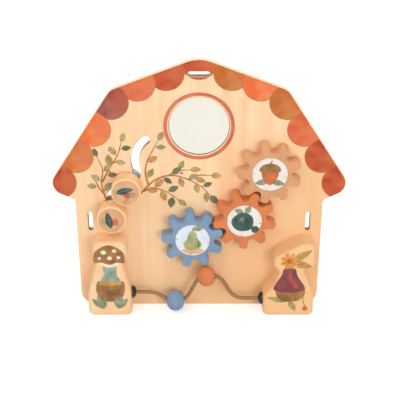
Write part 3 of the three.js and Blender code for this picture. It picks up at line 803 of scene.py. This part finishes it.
washer_front = -BOARD_THICKNESS - SEAT
washer_back = washer_front - WASHER_THICKNESS
disc_profile = rounded([
    (0, DISC_BACK), (DISC_RADIUS, DISC_BACK, DISC_ROUND), (DISC_RADIUS, DISC_FRONT, DISC_ROUND),
    (DISC_RADIUS - DISC_ROUND - DISC_RIM, DISC_FRONT), (0, DISC_FRONT)], closed=False, step=TIP_STEP)
washer_profile = rounded([
    (WASHER_BORE, washer_back), (WASHER_RADIUS, washer_back, WASHER_EDGE),
    (WASHER_RADIUS, washer_front, WASHER_EDGE), (WASHER_BORE, washer_front)],
    closed=False, step=TIP_STEP)
sliders = {"upper": upper_disc, "lower": lower_disc}
for level, place in sliders.items():
    turned(disc_profile).build(
        f"{level}_slider_disc", "disc_wood", f"slider_disc_{level}", f"{level}_disc", standing(*place))
    turned(washer_profile).build(f"{level}_slider_washer", "pale_plastic", f"slider_washer_{level}",
                                 f"{level}_slider", standing(*place))

# Blocks

for side, ((x, width, height), shares) in blocks.items():
    outline = rounded([(x + across * width, above * height, bend * width)
                       for across, above, bend in shares])
    slab(outline, 0, BLOCK_FRONT, BLOCK_EDGE, back_edge=0, steps=BLOCK_EDGE_STEPS).build(
        f"{side}_foot_block", "block_wood", f"{side}_block")

# Wire and beads

left_inner = LEFT_BLOCK[0] + LEFT_BLOCK[1] / 2
right_inner = RIGHT_BLOCK[0] - RIGHT_BLOCK[1] / 2
wire_path = [(left_inner - WIRE_ENTRY, WIRE_LEFT_HEIGHT), *WIRE_CORNERS,
             (right_inner + WIRE_ENTRY, WIRE_RIGHT_HEIGHT)]
swept(rounded(wire_path, closed=False), WIRE_RADIUS).build(
    "bent_wire", "wire_coat", "bead_wire", place=standing(depth=WIRE_DEPTH))

dip, hill = (corner_round(*(Vector(wire_path[k][:2]) for k in (i - 1, i, i + 1)), wire_path[i][2])[0]
             for i in (2, 3))
half_bead = BEAD_LENGTH / 2
mouth_angle = math.acos((BEAD_BORE + BEAD_FLARE) / BEAD_RADIUS)
bead_angles = [mouth_angle * (2 * i / BEAD_STEPS - 1) for i in range(BEAD_STEPS + 1)]
bead_swell = [(BEAD_RADIUS * math.cos(a), half_bead * math.sin(a) / math.sin(mouth_angle))
              for a in bead_angles]
bead_profile = [(BEAD_BORE, BEAD_FLARE - half_bead), *bead_swell, (BEAD_BORE, half_bead - BEAD_FLARE)]
for colour, centre, reach, angle in (
        ("blue", dip, DIP_BEAD_REACH, -math.pi / 2), ("orange", hill, HILL_BEAD_REACH, HILL_BEAD_PLACE)):
    threaded = along_board(*(centre + polar(reach, angle)), WIRE_DEPTH, angle + math.pi / 2)
    turned(bead_profile).build(
        f"{colour}_bead_turned", f"{colour}_paint", f"bead_{colour}", f"{colour}_bead", threaded)

dome_bore = WIRE_RADIUS + SEAT
spigot_radius, spigot_length = DOME_SPIGOT
dome_turns = [math.pi / 2 * i / DOME_STEPS for i in range(DOME_STEPS + 1)]
dome_profile = [(dome_bore, -spigot_length), (spigot_radius, -spigot_length), (spigot_radius, SEAT)]
dome_profile += [(dome_bore + (DOME_RADIUS - dome_bore) * math.cos(a), SEAT + DOME_HEIGHT * math.sin(a))
                 for a in dome_turns]
for side, inner, level, turn in (
        ("left", left_inner, WIRE_LEFT_HEIGHT, 0), ("right", right_inner, WIRE_RIGHT_HEIGHT, math.pi)):
    turned(dome_profile, DOME_SIDES).build(f"{side}_wire_dome", "black_plastic", f"wire_cap_{side}",
                                           place=along_board(inner, level, WIRE_DEPTH, turn))

# Screws


def screw_form(head_front, reach):
    """Pan head with a cross in it, straight shank and a short point."""
    form = Form()
    head_back = head_front - SCREW_HEAD_THICKNESS
    profile = [(0, reach), (SCREW_RADIUS, reach - SCREW_POINT), (SCREW_RADIUS, head_front),
               (SCREW_HEAD_RADIUS, head_front)]
    profile += [(SCREW_HEAD_RADIUS - shift, head_back + drop) for shift, drop in eased(SCREW_HEAD_EDGE)]
    rings = form.rounds((0, 0), profile, SMALL_SIDES)
    form.skin(*rings)
    long, wide = CROSS_LENGTH / 2, CROSS_WIDTH / 2
    cross = [Matrix.Rotation(quarter * math.pi / 2, 2) @ Vector(p) for quarter in range(4)
             for p in ((long, -wide), (long, wide), (wide, wide))]
    mouth = form.ring(cross, head_back)
    floor = form.ring([p * CROSS_TAPER_SHARE for p in cross], head_back + CROSS_DEPTH)
    form.cap(rings[-1], mouth)
    form.skin(mouth, floor)
    form.cap(floor)
    return form


# Screws: name, body, place, front of the head, reach and CAD node
screws = [(f"{colour}_axle_screw_turned", "house", place, head_floor - SEAT, AXLE_SCREW_REACH,
           f"axle_screw_{colour}") for colour, (place, _) in gears.items()]
block_screws = [f"block_screw_{side}_{level}" for side in blocks for level in ("low", "high")]
screws += [(f"{node}_turned", "house", place, head_floor - SEAT, BLOCK_SCREW_REACH, node)
           for node, place in zip(block_screws, screw_places)]
screws += [(f"{level}_slider_screw_turned", f"{level}_disc", place, washer_back - SEAT,
            SLIDER_SCREW_REACH, f"slider_screw_{level}") for level, place in sliders.items()]
rolls = random.Random(11)
for name, body, place, head_front, reach, node in screws:
    turned_place = standing(*place, roll=rolls.uniform(0, math.pi))
    screw_form(head_front, reach).build(name, "screw_steel", node, body, turned_place)

# CAD pieces that stay as they are: the hidden axles and the necks in the slot
for name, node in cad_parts.items():
    if name.startswith(("gear_axle", "slider_bush")):
        node.data.materials.clear()
        node.data.materials.append(looks["pale_plastic"])

# Paint

PAINT_SINK = 0.05             # how far a painted layer reaches into what carries it
PAINT_HEIGHT = 0.06
PAINT_STEP = 0.02             # one layer over another
PAINT_RISES = 9               # outlines of a layer before their heights start again


def layer(name, outlines, slot, body="house", level=0, carrier=0, place=None, holes=(), look=None):
    """Thin closed layers of paint on a face at the depth of its carrier. Each
    outline lies a hair above the one before, so that none share a plane."""
    form = Form()
    for i, outline in enumerate(outlines):
        front = carrier + PAINT_HEIGHT + PAINT_STEP * (level + i % PAINT_RISES / (PAINT_RISES + 1))
        form.add(slab(outline, carrier - PAINT_SINK, front, 0, holes))
    form.build(name, slot, None, body, place, look)


def clipped(loop, start, end):
    """The part of a loop on the left of the line from start to end."""
    along = (end - start).normalized()
    kept = []
    for i, here in enumerate(loop):
        before = loop[i - 1]
        was, now = along.cross(before - start), along.cross(here - start)
        if (was >= 0) != (now >= 0):
            kept.append(before + (here - before) * was / (was - now))
        if now >= 0:
            kept.append(here)
    return kept


# Scallops along the roof: rounds of paint that overlap towards the eaves
SCALLOP_RADIUS = 21.5
SCALLOP_RUNS = [0, 41.8, 77.5, 122, 162.2, 202.5, 242.8]    # along the roof line from the ridge
RIDGE_SCALLOP_INSET = 5.4
UPPER_SCALLOP_INSET = 4
LOWER_SCALLOP_INSET = 8.3
PAINT_MARGIN = 0.7
ROOF_LIMIT = WALL_TOP[1] + 2  # sides of the board whose middle is higher are its roof
roof_edge = inset(turned_left(house_outline), PAINT_MARGIN)
roof_sides = [(start, end) for start, end in zip(roof_edge, roof_edge[1:] + roof_edge[:1])
              if (start.y + end.y) / 2 > ROOF_LIMIT]


def scallop_place(k):
    """Centre of scallop k, counted from the ridge, and the way out to its roof edge."""
    side = 1 if k >= 0 else -1
    ridge, shoulder, eave = (Vector((side * x, z)) for x, z, _ in (RIDGE, SHOULDER, EAVE))
    run = SCALLOP_RUNS[abs(k)]
    if k == 0:
        return ridge - Vector((0, RIDGE_SCALLOP_INSET)), Vector((0, 1))
    upper_run = (shoulder - ridge).length
    inward = UPPER_SCALLOP_INSET
    start, end = ridge, shoulder
    if run > upper_run:
        start, end, run, inward = shoulder, eave, run - upper_run, LOWER_SCALLOP_INSET
    along = (end - start).normalized()
    outward = left_of(along) * side
    return start + along * run - outward * inward, outward


def scallop_outline(centre, outward):
    """Half a circle towards the middle of the board and straight sides out to the roof edge."""
    turn = math.atan2(outward.y, outward.x)
    loop = arc(centre, SCALLOP_RADIUS, turn + math.pi / 2, turn + 1.5 * math.pi)
    loop += [loop[-1] + outward * SCALLOP_RADIUS, loop[0] + outward * SCALLOP_RADIUS]
    for start, end in roof_sides:
        loop = clipped(loop, start, end)
    return without_repeats(loop)


SCALLOP_PAINTS = {
    # pale, deep and accent
    "brick": ((200, 96, 62), (179, 63, 37), (206, 108, 70)),
    "amber": ((220, 135, 78), (207, 106, 53), (213, 122, 80)),
    "ochre": ((203, 131, 78), (192, 102, 44), (210, 104, 50)),
    "flame": ((237, 137, 88), (233, 107, 55), (229, 119, 82)),
    "rose": ((171, 105, 95), (147, 63, 50), (184, 88, 68)),
    "coral": ((223, 120, 82), (211, 90, 50), (224, 123, 82)),
}
SCALLOPS = ["brick", "amber", "flame", "rose", "coral", "brick", "brick",       # left eave to ridge
            "ochre", "flame", "ochre", "coral", "brick", "brick"]
SCALLOP_RIM = (182, 122, 62)
RING_RIM = (196, 104, 76)

for index, paint_name in enumerate(SCALLOPS):
    k = index - len(SCALLOP_RUNS) + 1
    centre, outward = scallop_place(k)
    look = watercolour(f"scallop_paint_{index}", *SCALLOP_PAINTS[paint_name], SCALLOP_RIM, centre,
                       SCALLOP_RADIUS, flow=math.radians(90 + 40 * math.sin(index)), outward=outward)
    layer(f"scallop_{index}", [scallop_outline(centre, outward)], "orange_paint", level=abs(k),
          holes=[] if k else [inset(ridge_slot, -PAINT_MARGIN)], look=look)

ring_look = watercolour("ring_paint", (216, 126, 98), (204, 104, 78), (212, 116, 90), RING_RIM,
                        mirror_centre, RING_OUTER, wash=14)
layer("mirror_ring", [circle(mirror_centre, RING_OUTER)], "orange_paint",
      holes=[circle(mirror_centre, RING_INNER)], look=ring_look)

# Brush shapes for the painted pictures

LEAF_STEPS = 9
STROKE_STEPS = 6
SPOT_SIDES = 36
LEAF_LINE = 0.6


def leaf(base, tip, width):
    """Pointed oval from base to tip."""
    base, tip = Vector(base), Vector(tip)
    along = tip - base
    side = left_of(along).normalized() * width / 2
    places = [(base + along * t, side * math.sin(math.pi * t ** 0.85) ** 0.9)
              for t in (i / LEAF_STEPS for i in range(1, LEAF_STEPS))]
    return [base] + [p - s for p, s in places] + [tip] + [p + s for p, s in reversed(places)]


def stroke(points, start, end):
    """Tapered line through points, start and end wide at its two ends."""
    line = smooth(points, closed=False, steps=STROKE_STEPS)
    last = len(line) - 1
    sides = [(p, sideways(line, i) * (start + (end - start) * i / last) / 2) for i, p in enumerate(line)]
    return [p - side for p, side in sides] + [p + side for p, side in reversed(sides)]


def spot(x, z, across, above=None):
    """Oval of half width across and half height above, slightly uneven as if brushed."""
    points = []
    for i in range(SPOT_SIDES):
        angle = TURN * i / SPOT_SIDES
        swell = 1 + 0.025 * math.sin(3 * angle + x) + 0.02 * math.sin(5 * angle + z)
        points.append(Vector((x + across * swell * math.cos(angle),
                              z + (above or across) * swell * math.sin(angle))))
    return points


def blot(*points):
    """Free closed shape through a few points."""
    return smooth(points)


WASHES = {
    # slot, pale and deep tone
    "sage": ("blue_paint", (186, 186, 136), (148, 154, 104)),
    "olive": ("tan_paint", (194, 182, 118), (156, 144, 82)),
    "gold": ("tan_paint", (216, 172, 102), (186, 136, 68)),
    "fern": ("blue_paint", (126, 132, 100), (92, 104, 76)),
    "leaf_line": ("tan_paint", (130, 118, 78), (104, 96, 62)),
    "twig": ("tan_paint", (186, 134, 84), (158, 108, 62)),
    "berry": ("orange_paint", (236, 126, 84), (208, 86, 56)),
    "bark": ("tan_paint", (178, 132, 86), (136, 94, 56)),
    "cream": ("white_paint", (250, 232, 202), (238, 214, 176)),
    "mist": ("blue_paint", (172, 188, 174), (128, 150, 140)),
    "moss": ("blue_paint", (170, 178, 148), (128, 142, 116)),
    "frost": ("white_paint", (232, 238, 244), (214, 226, 238)),
    "linen": ("white_paint", (243, 234, 228), (233, 220, 211)),
    "plum": ("orange_paint", (150, 84, 84), (116, 58, 66)),
    "rose": ("orange_paint", (188, 92, 84), (160, 66, 62)),
    "petal": ("tan_paint", (232, 172, 92), (208, 132, 56)),
    "teal": ("blue_paint", (88, 112, 106), (50, 74, 72)),
    "rust": ("orange_paint", (216, 126, 70), (178, 84, 44)),
    "peach": ("tan_paint", (236, 190, 152), (222, 168, 128)),
    "clay": ("tan_paint", (226, 178, 140), (212, 158, 118)),
    "smoke": ("blue_paint", (168, 164, 150), (128, 126, 116)),
}
wash_looks = {name: wash_look(f"{name}_wash", pale, deep) for name, (_, pale, deep) in WASHES.items()}


def picture(name, parts, body="house", carrier=BLOCK_FRONT, place=None):
    """Painted picture: each part is a wash and its outlines, later ones over earlier ones."""
    for level, (wash, outlines) in enumerate(parts):
        layer(f"{name}_{level}_{wash}", outlines, WASHES[wash][0], body, level, carrier, place,
              look=wash_looks[wash])


def leafed(leaves):
    """Dark edges, blades and middle lines of leaves given as (base, tip, width)."""
    edges, lines = [], []
    for base, tip, width in leaves:
        base, tip = Vector(base), Vector(tip)
        over = (tip - base).normalized() * LEAF_LINE
        edges.append(leaf(base - over, tip + over, width + 1.6 * LEAF_LINE))
        middle, end = base.lerp(tip, 0.5), base.lerp(tip, 0.82)
        lines.append(stroke([base, middle, end], LEAF_LINE, 0.3 * LEAF_LINE))
    return edges, [leaf(*one) for one in leaves], lines


# Leafy sprigs on the board, round the slot
LEAF_COLOURS = ["sage", "olive", "gold", "fern"]
SPRIGS = [
    # number of leaves, then the twig from its foot to its tip
    (5, (-112, 146), (-117, 170), (-115, 188), (-120, 203)),
    (6, (-116, 172), (-106, 192), (-97, 206), (-92, 222)),
    (3, (-103, 197), (-96, 199), (-89, 197)),
    (4, (-114, 156), (-121, 166), (-126, 180)),
    (6, (-60, 167), (-64, 182), (-62, 198), (-55, 213), (-49, 224)),
    (10, (-73, 154), (-54, 174), (-34, 181), (-14, 176), (3, 166), (12, 156)),
    (4, (-36, 181), (-25, 187), (-13, 188)),
    (4, (-12, 175), (0, 181), (12, 181)),
    (6, (-67, 160), (-54, 164), (-39, 159), (-27, 150)),
]
BERRY_PLACES = [(-107, 186), (-57, 199), (-21, 184), (-44, 173), (-106, 214)]
BERRY_RADIUS = 1.7
SLOT_MARGIN = 1.5             # sprigs keep this far from the slot
SCALLOP_MARGIN = 2            # and their tips from the scallops
LEAF_SPACING = 8.5
LEAF_STALK = 3
LEAF_LEANS = (35, 65)         # degrees away from the twig
LEAF_LENGTHS = (10, 13.5)
LEAF_WIDTH_SHARES = (0.5, 0.62)
TWIG_WIDTHS = (2.4, 0.9)      # at the foot and at the tip
STALK_WIDTHS = (0.9, 0.7)
TWIG_STEPS = 12
middle_line = slot_line(0)


def board_sprigs():
    draw = random.Random(5)
    twigs, stalks, taken = [], [], []
    leaves = {colour: [] for colour in LEAF_COLOURS}
    scallops = [scallop_place(k)[0] for k in range(1 - len(SCALLOP_RUNS), 1)]
    for count, *stem in SPRIGS:
        line = smooth(stem, closed=False, steps=TWIG_STEPS)
        twigs.append(stroke(stem, *TWIG_WIDTHS))
        for i in range(count):
            index = round((i + 1) / count * (len(line) - 1))
            here = line[index]
            side = 0 if i == count - 1 else (1 if i % 2 else -1)
            turn = Matrix.Rotation(side * math.radians(draw.uniform(*LEAF_LEANS)), 2)
            way = turn @ (here - line[index - 1]).normalized()
            length = draw.uniform(*LEAF_LENGTHS)
            base, tip = here + way * LEAF_STALK, here + way * (LEAF_STALK + length)
            middle = base.lerp(tip, 0.5)
            colour = draw.choice(LEAF_COLOURS)
            crowded = any((middle - other).length < LEAF_SPACING for other in taken)
            hidden = any((tip - other).length < SCALLOP_RADIUS + SCALLOP_MARGIN for other in scallops)
            open_below = any((p - other).length < SLOT_WIDTH / 2 + SLOT_MARGIN
                             for p in (base, middle, tip) for other in middle_line)
            if crowded or hidden or open_below:
                continue
            taken.append(middle)
            stalks.append(stroke([here, base], *STALK_WIDTHS))
            leaves[colour].append((base, tip, length * draw.uniform(*LEAF_WIDTH_SHARES)))
    edges, _, lines = leafed([one for group in leaves.values() for one in group])
    parts = [("twig", stalks), ("twig", twigs), ("leaf_line", edges)]
    parts += [(colour, leafed(group)[1]) for colour, group in leaves.items() if group]
    berries = [spot(*place, BERRY_RADIUS) for place in BERRY_PLACES]
    return parts + [("leaf_line", lines), ("berry", berries)]


picture("board_sprigs", board_sprigs(), carrier=0)

# Toadstool on a stump, on the left block
tuft_edges, tufts, tuft_lines = leafed([
    ((-121, 12), (-133, 25), 5.5), ((-120, 11), (-126, 30), 6), ((-119, 11), (-117, 28), 5.5),
    ((-101, 12), (-104, 28), 5.5), ((-100, 11), (-96, 30), 6), ((-99, 12), (-89, 25), 5.5)])
picture("left_picture", [
    ("mist", [blot((-117, 74), (-102, 74), (-101, 60), (-96, 48), (-109, 43), (-122, 48), (-117, 60))]),
    ("bark", [blot((-125, 50), (-116, 47), (-109, 49), (-101, 47), (-93, 50), (-92, 36), (-98, 24),
                   (-109, 21), (-121, 24), (-127, 36))]),
    ("gold", [spot(-109.5, 47.5, 14, 3.2)]),
    ("cream", [blot((-121, 74), (-109.5, 70), (-98, 74), (-103, 78), (-116, 78))]),
    ("bark", [blot((-128, 77), (-119, 77), (-109.5, 74), (-100, 77), (-91, 77), (-93, 92), (-109.5, 101),
                   (-126, 92))]),
    ("leaf_line", tuft_edges),
    ("moss", tufts),
    ("cream", [spot(-116, 91, 3.4, 2.8), spot(-103, 93, 2.8, 2.4), spot(-109, 83, 3.2, 2.6),
               spot(-121, 83, 2.2, 1.8), spot(-98, 84, 2.3, 2)]),
    ("leaf_line", tuft_lines + [stroke([(-122, 40), (-112, 36), (-98, 39)], 0.4, 0.9),
                                stroke([(-119, 31), (-107, 33), (-97, 30)], 0.9, 0.4)]),
])

# Vase with a flower, on the right block
FLOWER_SIDES = 96
flower = [Vector((110.5, 79)) + polar(5.5 + 6 * abs(math.sin(4 * a)) ** 0.7, a)
          for a in (TURN * i / FLOWER_SIDES for i in range(FLOWER_SIDES))]
blade_edges, blades, blade_lines = leafed([
    ((113, 78), (137, 94), 8), ((114, 76), (138, 71), 8.5),
    ((107, 21), (85, 27), 6), ((112, 21), (120, 8), 6.5)])
picture("right_picture", [
    ("leaf_line", blade_edges),
    ("gold", blades[:2]),
    ("olive", blades[2:] + [stroke([(111, 79), (111, 66)], 1.8, 2.4)]),
    ("bark", [blot((95, 37), (112, 38), (131, 37), (125, 24), (112, 21), (100, 24))]),
    ("plum", [blot((104, 68), (111, 69), (118, 68), (121, 58), (131, 40), (122, 35), (111, 34), (101, 35),
                   (92, 40), (101, 58))]),
    ("rose", [stroke([(112, 64), (113, 52), (121, 41)], 3, 7)]),
    ("petal", [flower]),
    ("rust", [spot(110.5, 79, 3.6), spot(132, 11, 3.4)]),
    ("leaf_line", blade_lines + [stroke([(132, 14), (129, 24), (130, 33)], 0.7, 0.9)]),
])

# Fruit on the caps of the gears
TICK_LEVEL = 8
TICK_SPAN = (0.4, 3.4)        # from the edge of the cap inwards
CAP_TICKS = [math.radians(angle) for angle in (-8, 86, 176, 262)]
ticks = [stroke([polar(CAP_RADIUS - inward, a) for inward in TICK_SPAN], 1.1, 0.6) for a in CAP_TICKS]
pear_edges, pear_leaves, pear_lines = leafed([((1, 15), (14, 19), 6.5)])
berry_edges, berry_leaves, berry_lines = leafed([((1, 11), (7, 20), 6), ((-2, 11), (-12, 16), 6)])
nut_edges, nut_leaves, nut_lines = leafed([((-3, -9), (-17, -11), 6.5), ((3, -9), (17, -12), 6.5)])
cap_ground = circle((0, 0), CAP_RADIUS - 0.8)
CAP_PICTURES = {
    "blue": [
        ("frost", [cap_ground]),
        ("peach", [blot((-13, -13), (0, -10), (13, -13), (8, -18), (-8, -18))]),
        ("leaf_line", pear_edges + [stroke([(0, 12), (1, 17)], 1, 1.4)]),
        ("moss", pear_leaves),
        ("sage", [blot((0, 13.5), (4.5, 10), (6.5, 2), (11, -4), (8, -11), (0, -13), (-8, -11), (-11, -4),
                       (-6.5, 2), (-4.5, 10))]),
        ("fern", [stroke([(6, -9), (8, -4), (4.5, 3)], 2.4, 1), *pear_lines]),
    ],
    "orange": [
        ("linen", [cap_ground]),
        ("leaf_line", berry_edges),
        ("moss", berry_leaves),
        ("teal", [spot(-2, -1, 13.4, 12.6), spot(13, -11, 4.8)]),
        ("smoke", [leaf(polar(0.5, a) + Vector((-3, 3)), polar(4, a) + Vector((-3, 3)), 2.2)
                   for a in (TURN * i / 5 for i in range(5))]),
        ("leaf_line", berry_lines),
    ],
    "tan": [
        ("linen", [cap_ground]),
        ("leaf_line", nut_edges),
        ("smoke", nut_leaves),
        ("rust", [blot((-9.5, 5), (0, 7), (9.5, 5), (8, -6), (0, -13.5), (-8, -6))]),
        ("bark", [blot((-12, 4), (-10, 11), (0, 14.5), (10, 11), (12, 4), (0, 2))]),
        ("leaf_line", [*nut_lines, stroke([(0, 14), (2.5, 18)], 1.6, 1.2)]),
    ],
}
for colour, (place, _) in gears.items():
    face = standing(*place)
    body = f"{colour}_gear"
    layer(f"{colour}_cap_ticks", ticks, f"{colour}_paint", body, TICK_LEVEL, GEAR_FRONT, face)
    picture(f"{colour}_cap_picture", CAP_PICTURES[colour], body, GEAR_FRONT, face)

# A leaf and a berry on each sliding disc
PRINT_RADIUS = 16
DISC_PICTURES = {
    "upper": (
        [((-12, 0), (9, 5), 8.5)], [((4, -5), (11, -1), 5)], spot(2, -3.5, 4.6, 3.4),
        [(-2, -13), (0, -9), (5, -5)]),
    "lower": (
        [((-1, -11), (-5, 11), 9)], [((-8, -5), (-12, 2), 4)], spot(4.5, -2, 3.8, 5),
        [(4, -14), (8, -8), (12, -4)]),
}
for level, place in sliders.items():
    dark, light, berry, twig = DISC_PICTURES[level]
    edges, pale_leaves, _ = leafed(light)
    _, dark_leaves, dark_lines = leafed(dark)
    picture(f"{level}_disc_picture", [
        ("clay", [circle((0, 0), PRINT_RADIUS)]), ("berry", [berry]), ("twig", [stroke(twig, 0.9, 0.5)]),
        ("leaf_line", edges), ("sage", pale_leaves), ("teal", dark_leaves), ("smoke", dark_lines),
    ], f"{level}_disc", DISC_FRONT, standing(*place))

# Stage: places and sizes in metres, the lens and its sensor in millimetres

LENS = 81
SENSOR = 36
CAMERA_PLACE = (0.0011, -0.9736, 0.626)
CAMERA_TILT = math.radians(64)
FLOOR_HALF = 3.0
FLOOR_TONES = ((0.8, 0.8, 0.79, 1), (0.82, 0.82, 0.815, 1))
FLOOR_MOTTLE = (90, 2)
FLOOR_GLOW = 0.5
AMBIENT_COLOUR = (1, 0.985, 0.965, 1)
AMBIENT_STRENGTH = 0.64
LAMP_COLOUR = (1, 0.99, 0.97)
MIDDLE_OF_TOY = Vector((0, 0, 0.15))


def floor_look():
    """White floor that keeps its shadows for the camera and is plain white in the mirror."""
    paint = Paint("floor_white")
    from_camera, mirrored = paint.rays()
    mottle = paint.span(paint.noise(paint.place(), *FLOOR_MOTTLE), 0.3, 0.7)
    tones = {0: mottle, 6: FLOOR_TONES[0], 7: FLOOR_TONES[1]}
    matt = paint.signal("BsdfDiffuse", {"Color": paint.node("Mix", tones, data_type="RGBA").outputs[2]})
    soft = paint.signal("AddShader", {0: matt, 1: paint.glow(FLOOR_GLOW)})
    return paint.finish(paint.blend(mirrored, paint.blend(from_camera, matt, soft), paint.glow(1.0)))


corners = [(x * FLOOR_HALF, y * FLOOR_HALF, 0) for x, y in ((-1, -1), (1, -1), (1, 1), (-1, 1))]
floor_mesh = bpy.data.meshes.new("floor")
floor_mesh.from_pydata(corners, [], [range(4)])
floor_mesh.materials.append(floor_look())
in_scene("floor", floor_mesh)

sky = Paint("studio", bpy.data.worlds)
ambient, backdrop = (sky.signal("Background", {"Color": colour, "Strength": strength})
                     for colour, strength in ((AMBIENT_COLOUR, AMBIENT_STRENGTH), (WHITE, 1.0)))
seen = sky.math("MAXIMUM", *sky.rays())
bpy.context.scene.world = sky.finish(sky.blend(seen, ambient, backdrop), "OutputWorld")


def lamp(name, place, size, power, colour=(1, 1, 1)):
    data = bpy.data.lights.new(name, "AREA")
    data.shape = "DISK"
    data.size = size
    data.energy = power
    data.color = colour
    made = in_scene(name, data)
    made.location = place
    made.rotation_euler = (MIDDLE_OF_TOY - Vector(place)).to_track_quat("-Z", "Y").to_euler()


lamp("key", (0.9, -1.95, 0.35), 1.0, 14, LAMP_COLOUR)
lamp("fill", (-0.8, -1.1, 1.55), 1.2, 9.0, LAMP_COLOUR)
lamp("rim", (0.1, 0.9, 1.3), 0.8, 5)

camera_data = bpy.data.cameras.new("camera")
camera_data.lens = LENS
camera_data.sensor_width = SENSOR
camera = in_scene("camera", camera_data)
camera.location = CAMERA_PLACE
camera.rotation_euler = (CAMERA_TILT, 0, 0)
bpy.context.scene.camera = camera
bpy.context.scene.view_settings.view_transform = "Standard"
